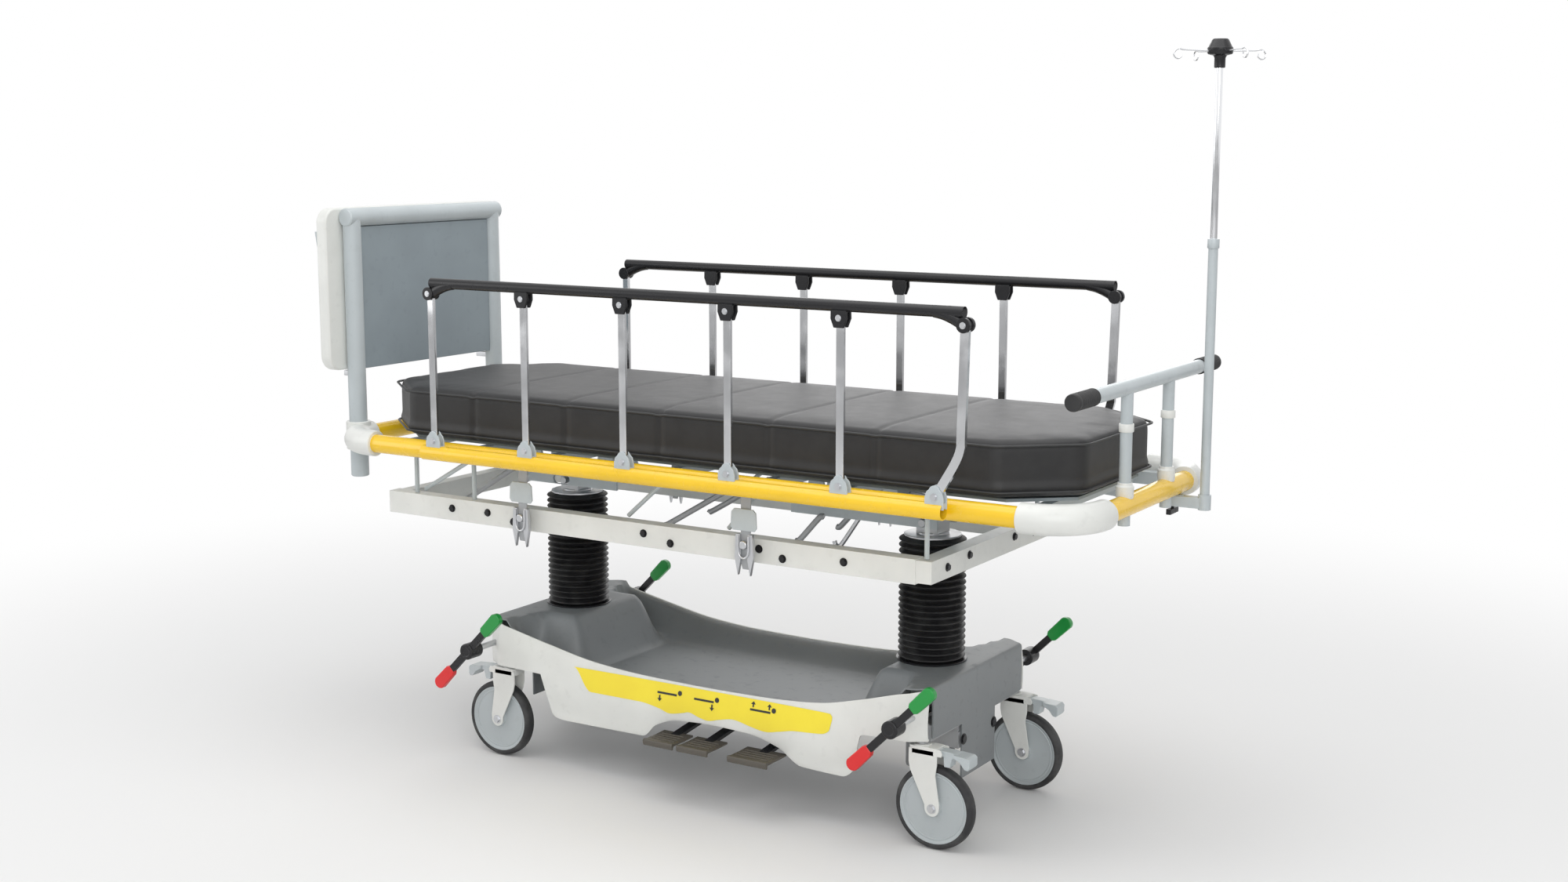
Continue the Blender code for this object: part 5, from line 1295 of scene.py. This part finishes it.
# ---------------------------------------------------------------- stage
def make_stage():
    scene = bpy.context.scene
    look = scene.cot_stage
    camera = bpy.data.objects.new("camera", bpy.data.cameras.new("camera"))
    scene.collection.objects.link(camera)
    camera.location = (2.6367, -4.0512, 1.6421)
    camera.rotation_euler = (math.pi / 2 - 0.1598, 0, 0.5594)
    camera.data.sensor_width = 36.0
    camera.data.lens = 44.49
    scene.camera = camera
    for name, place, size, watts in (("top_softbox", (0.3, -0.6, 4.2), 4.5, look.top_watts),
                                     ("key_softbox", (3.4, -4.4, 2.8), 3.0, look.key_watts),
                                     ("fill_softbox", (-4.6, -3.2, 2.2), 3.0, look.fill_watts),
                                     ("rear_softbox", (-1.5, 4.8, 2.6), 3.5, look.fill_watts)):
        lamp = bpy.data.lights.new(name, "AREA")
        lamp.size = size
        lamp.energy = watts
        made = bpy.data.objects.new(name, lamp)
        scene.collection.objects.link(made)
        made.location = place
        made.rotation_euler = (Vector((0, 0, 0.7)) - Vector(place)).to_track_quat("-Z", "Y").to_euler()
    world = bpy.data.worlds.new("studio")
    world.use_nodes = True
    scene.world = world
    nodes, links = world.node_tree.nodes, world.node_tree.links
    background = nodes["Background"]
    background.inputs["Color"].default_value = (1, 1, 1, 1)
    rays = nodes.new("ShaderNodeLightPath")
    shiny = nodes.new("ShaderNodeMath")
    shiny.operation = "MAXIMUM"
    links.new(rays.outputs["Is Glossy Ray"], shiny.inputs[0])
    links.new(rays.outputs["Is Transmission Ray"], shiny.inputs[1])
    white = nodes.new("ShaderNodeMath")
    white.operation = "MAXIMUM"
    links.new(rays.outputs["Is Camera Ray"], white.inputs[0])
    links.new(shiny.outputs[0], white.inputs[1])
    strength = nodes.new("ShaderNodeMath")
    strength.operation = "MULTIPLY_ADD"
    links.new(white.outputs[0], strength.inputs[0])
    strength.inputs[1].default_value = 1.0 - look.sky
    strength.inputs[2].default_value = look.sky
    links.new(strength.outputs[0], background.inputs["Strength"])
    form = bmesh.new()
    bmesh.ops.create_grid(form, x_segments=2, y_segments=2, size=14.0)
    mesh = bpy.data.meshes.new("floor")
    form.to_mesh(mesh)
    form.free()
    floor = bpy.data.objects.new("floor", mesh)
    scene.collection.objects.link(floor)
    floor.location.z = -0.0005
    paint = Paint("floor", Roughness=0.9, Specular_IOR_Level=0.1)
    paint.set(Base_Color=(0.90, 0.90, 0.90, 1))
    far = paint.node("ShaderNodeVectorMath", {"operation": "LENGTH"}, {0: paint.place}).outputs["Value"]
    far = Number(paint, far).above(2.6, 1.5)
    camera_ray = Number(paint, paint.node("ShaderNodeLightPath").outputs["Is Camera Ray"])
    glow = paint.node("ShaderNodeEmission", None, {"Color": (1, 1, 1, 1), "Strength": 1.0})
    both = paint.node("ShaderNodeMixShader", None,
                      {0: far * camera_ray, 1: paint.shader.outputs[0], 2: glow.outputs[0]})
    paint.tree.links.new(both.outputs[0], paint.tree.nodes["Material Output"].inputs["Surface"])
    mesh.materials.append(paint.material)
    scene.view_settings.view_transform = "Standard"


# ---------------------------------------------------------------- panel
def colour(name, description, default):
    return FloatVectorProperty(name=name, description=description, subtype="COLOR", size=3, min=0, max=1,
                               default=default)


def length(name, description, default):
    return FloatProperty(name=name, description=description, unit="LENGTH", default=default, min=0.0, precision=4)


class CotColours(bpy.types.PropertyGroup):
    white: colour("Painted white", "Beams, fittings, skirts and forks", (0.80, 0.81, 0.78))
    yellow: colour("Bumper yellow", "The bumper tube and the rails' base tubes", (0.95, 0.60, 0.015))
    tub: colour("Tub grey", "The moulded tub over the base", (0.235, 0.250, 0.258))
    light_grey: colour("Light grey", "Tubes of the handle, footboard and drip pole", (0.52, 0.57, 0.59))
    panel: colour("Panel grey", "The deck's boards and the footboard's panel", (0.28, 0.33, 0.36))
    steel: colour("Steel grey", "The welded frame under the tub", (0.40, 0.41, 0.42))
    black: colour("Black", "Grab rails, hubs and clamps", (0.016, 0.016, 0.018))
    pedal: colour("Pedal brown", "The foot pedals' plates", (0.095, 0.085, 0.070))
    green: colour("Lever green", "The half of the brake lever that releases", (0.005, 0.30, 0.045))
    red: colour("Lever red", "The half of the brake lever that locks", (0.75, 0.010, 0.012))
    label: colour("Label yellow", "The film over the pedals", (1.0, 0.80, 0.045))
    mattress: colour("Mattress", "The mattress's coated cover", (0.024, 0.024, 0.025))


class CotSizes(bpy.types.PropertyGroup):
    bellows_folds: IntProperty(name="Bellows folds", description="Pleats in each column's sleeve", default=20, min=4)
    bellows_crest: length("Bellows crest", "Radius of a pleat's crest", 0.0815)
    bellows_valley: length("Bellows valley", "Radius between pleats", 0.0700)
    seam_width: length("Seam width", "Half width of a sewn channel", 0.0085)
    seam_depth: length("Seam depth", "How far a sewn channel is pulled in", 0.0060)
    mattress_swell: length("Mattress swell", "The most that the cover may move as it fills", 0.0060)
    mattress_pressure: FloatProperty(name="Mattress pressure", description="Pressure that fills the cover",
                                     default=4.0, min=0.0)


class CotStage(bpy.types.PropertyGroup):
    top_watts: FloatProperty(name="Top light", description="Power of the softbox overhead", unit="POWER", default=92)
    key_watts: FloatProperty(name="Key light", description="Power of the softbox by the camera", unit="POWER", default=88)
    fill_watts: FloatProperty(name="Fill lights", description="Power of the other softboxes", unit="POWER", default=46)
    sky: FloatProperty(name="Sky", description="Even light from all round", default=0.44, min=0.0, max=1.0)


def operator(key, label, description, *makers):
    """An operator class that runs the makers in order."""
    def execute(self, context):
        for maker in makers:
            maker()
        return {"FINISHED"}
    return type(f"COT_OT_{key}", (bpy.types.Operator,),
                {"bl_idname": f"cot.{key}", "bl_label": label, "__doc__": description, "execute": execute})


OPERATORS = (
    operator("stage", "Stage", "Set the camera, the lights and the floor", make_stage),
    operator("base", "Base", "Make the tub, the skirts, the label and the welded frame",
             make_tub, make_skirts, make_label, make_chassis),
    operator("casters", "Casters", "Make the forks, wheels and toe levers", make_casters),
    operator("brake_levers", "Brake levers", "Make the brake bars and their coloured levers", make_brake_levers),
    operator("pedals", "Pedals", "Make the three foot pedals", make_pedals),
    operator("columns", "Columns", "Make the pleated sleeves and finish the columns", make_columns),
    operator("subframe", "Subframe", "Make the beams, bolts, latches and braces", make_subframe),
    operator("deck", "Deck", "Make the deck frame, the bumper and the boards", make_deck),
    operator("mattress", "Mattress", "Fill the mattress and sew its channels", make_mattress),
    operator("side_rails", "Side rails", "Make the rails' tubes, posts and grab bars",
             make_rail_tubes, make_posts, make_top_bars),
    operator("push_handle", "Push handle", "Make the push handle", make_push_handle),
    operator("drip_pole", "Drip pole", "Make the drip pole and its hooks", make_drip_pole),
    operator("footboard", "Footboard", "Make the footboard, shelf and pocket", make_footboard),
)


class COT_PT_panel(bpy.types.Panel):
    """Sizes, colours and pieces of the transport cot"""
    bl_label = "Transport cot"
    bl_idname = "COT_PT_panel"
    bl_space_type = "VIEW_3D"
    bl_region_type = "UI"
    bl_category = "Transport cot"

    def draw(self, context):
        for group in (context.scene.cot_colours, context.scene.cot_sizes, context.scene.cot_stage):
            column = self.layout.column(align=True)
            for key in group.__annotations__:
                column.prop(group, key)
        for made in OPERATORS:
            self.layout.operator(made.bl_idname)


GROUPS = (("cot_colours", CotColours), ("cot_sizes", CotSizes), ("cot_stage", CotStage))


def register():
    for key, group in GROUPS:
        bpy.utils.register_class(group)
        setattr(bpy.types.Scene, key, PointerProperty(type=group))
    for made in (*OPERATORS, COT_PT_panel):
        bpy.utils.register_class(made)


def unregister():
    for made in reversed((*OPERATORS, COT_PT_panel)):
        bpy.utils.unregister_class(made)
    for key, group in reversed(GROUPS):
        delattr(bpy.types.Scene, key)
        bpy.utils.unregister_class(group)


def main():
    register()
    for made in OPERATORS:
        getattr(bpy.ops.cot, made.bl_idname.split(".")[1])()


if __name__ == "__main__":
    main()
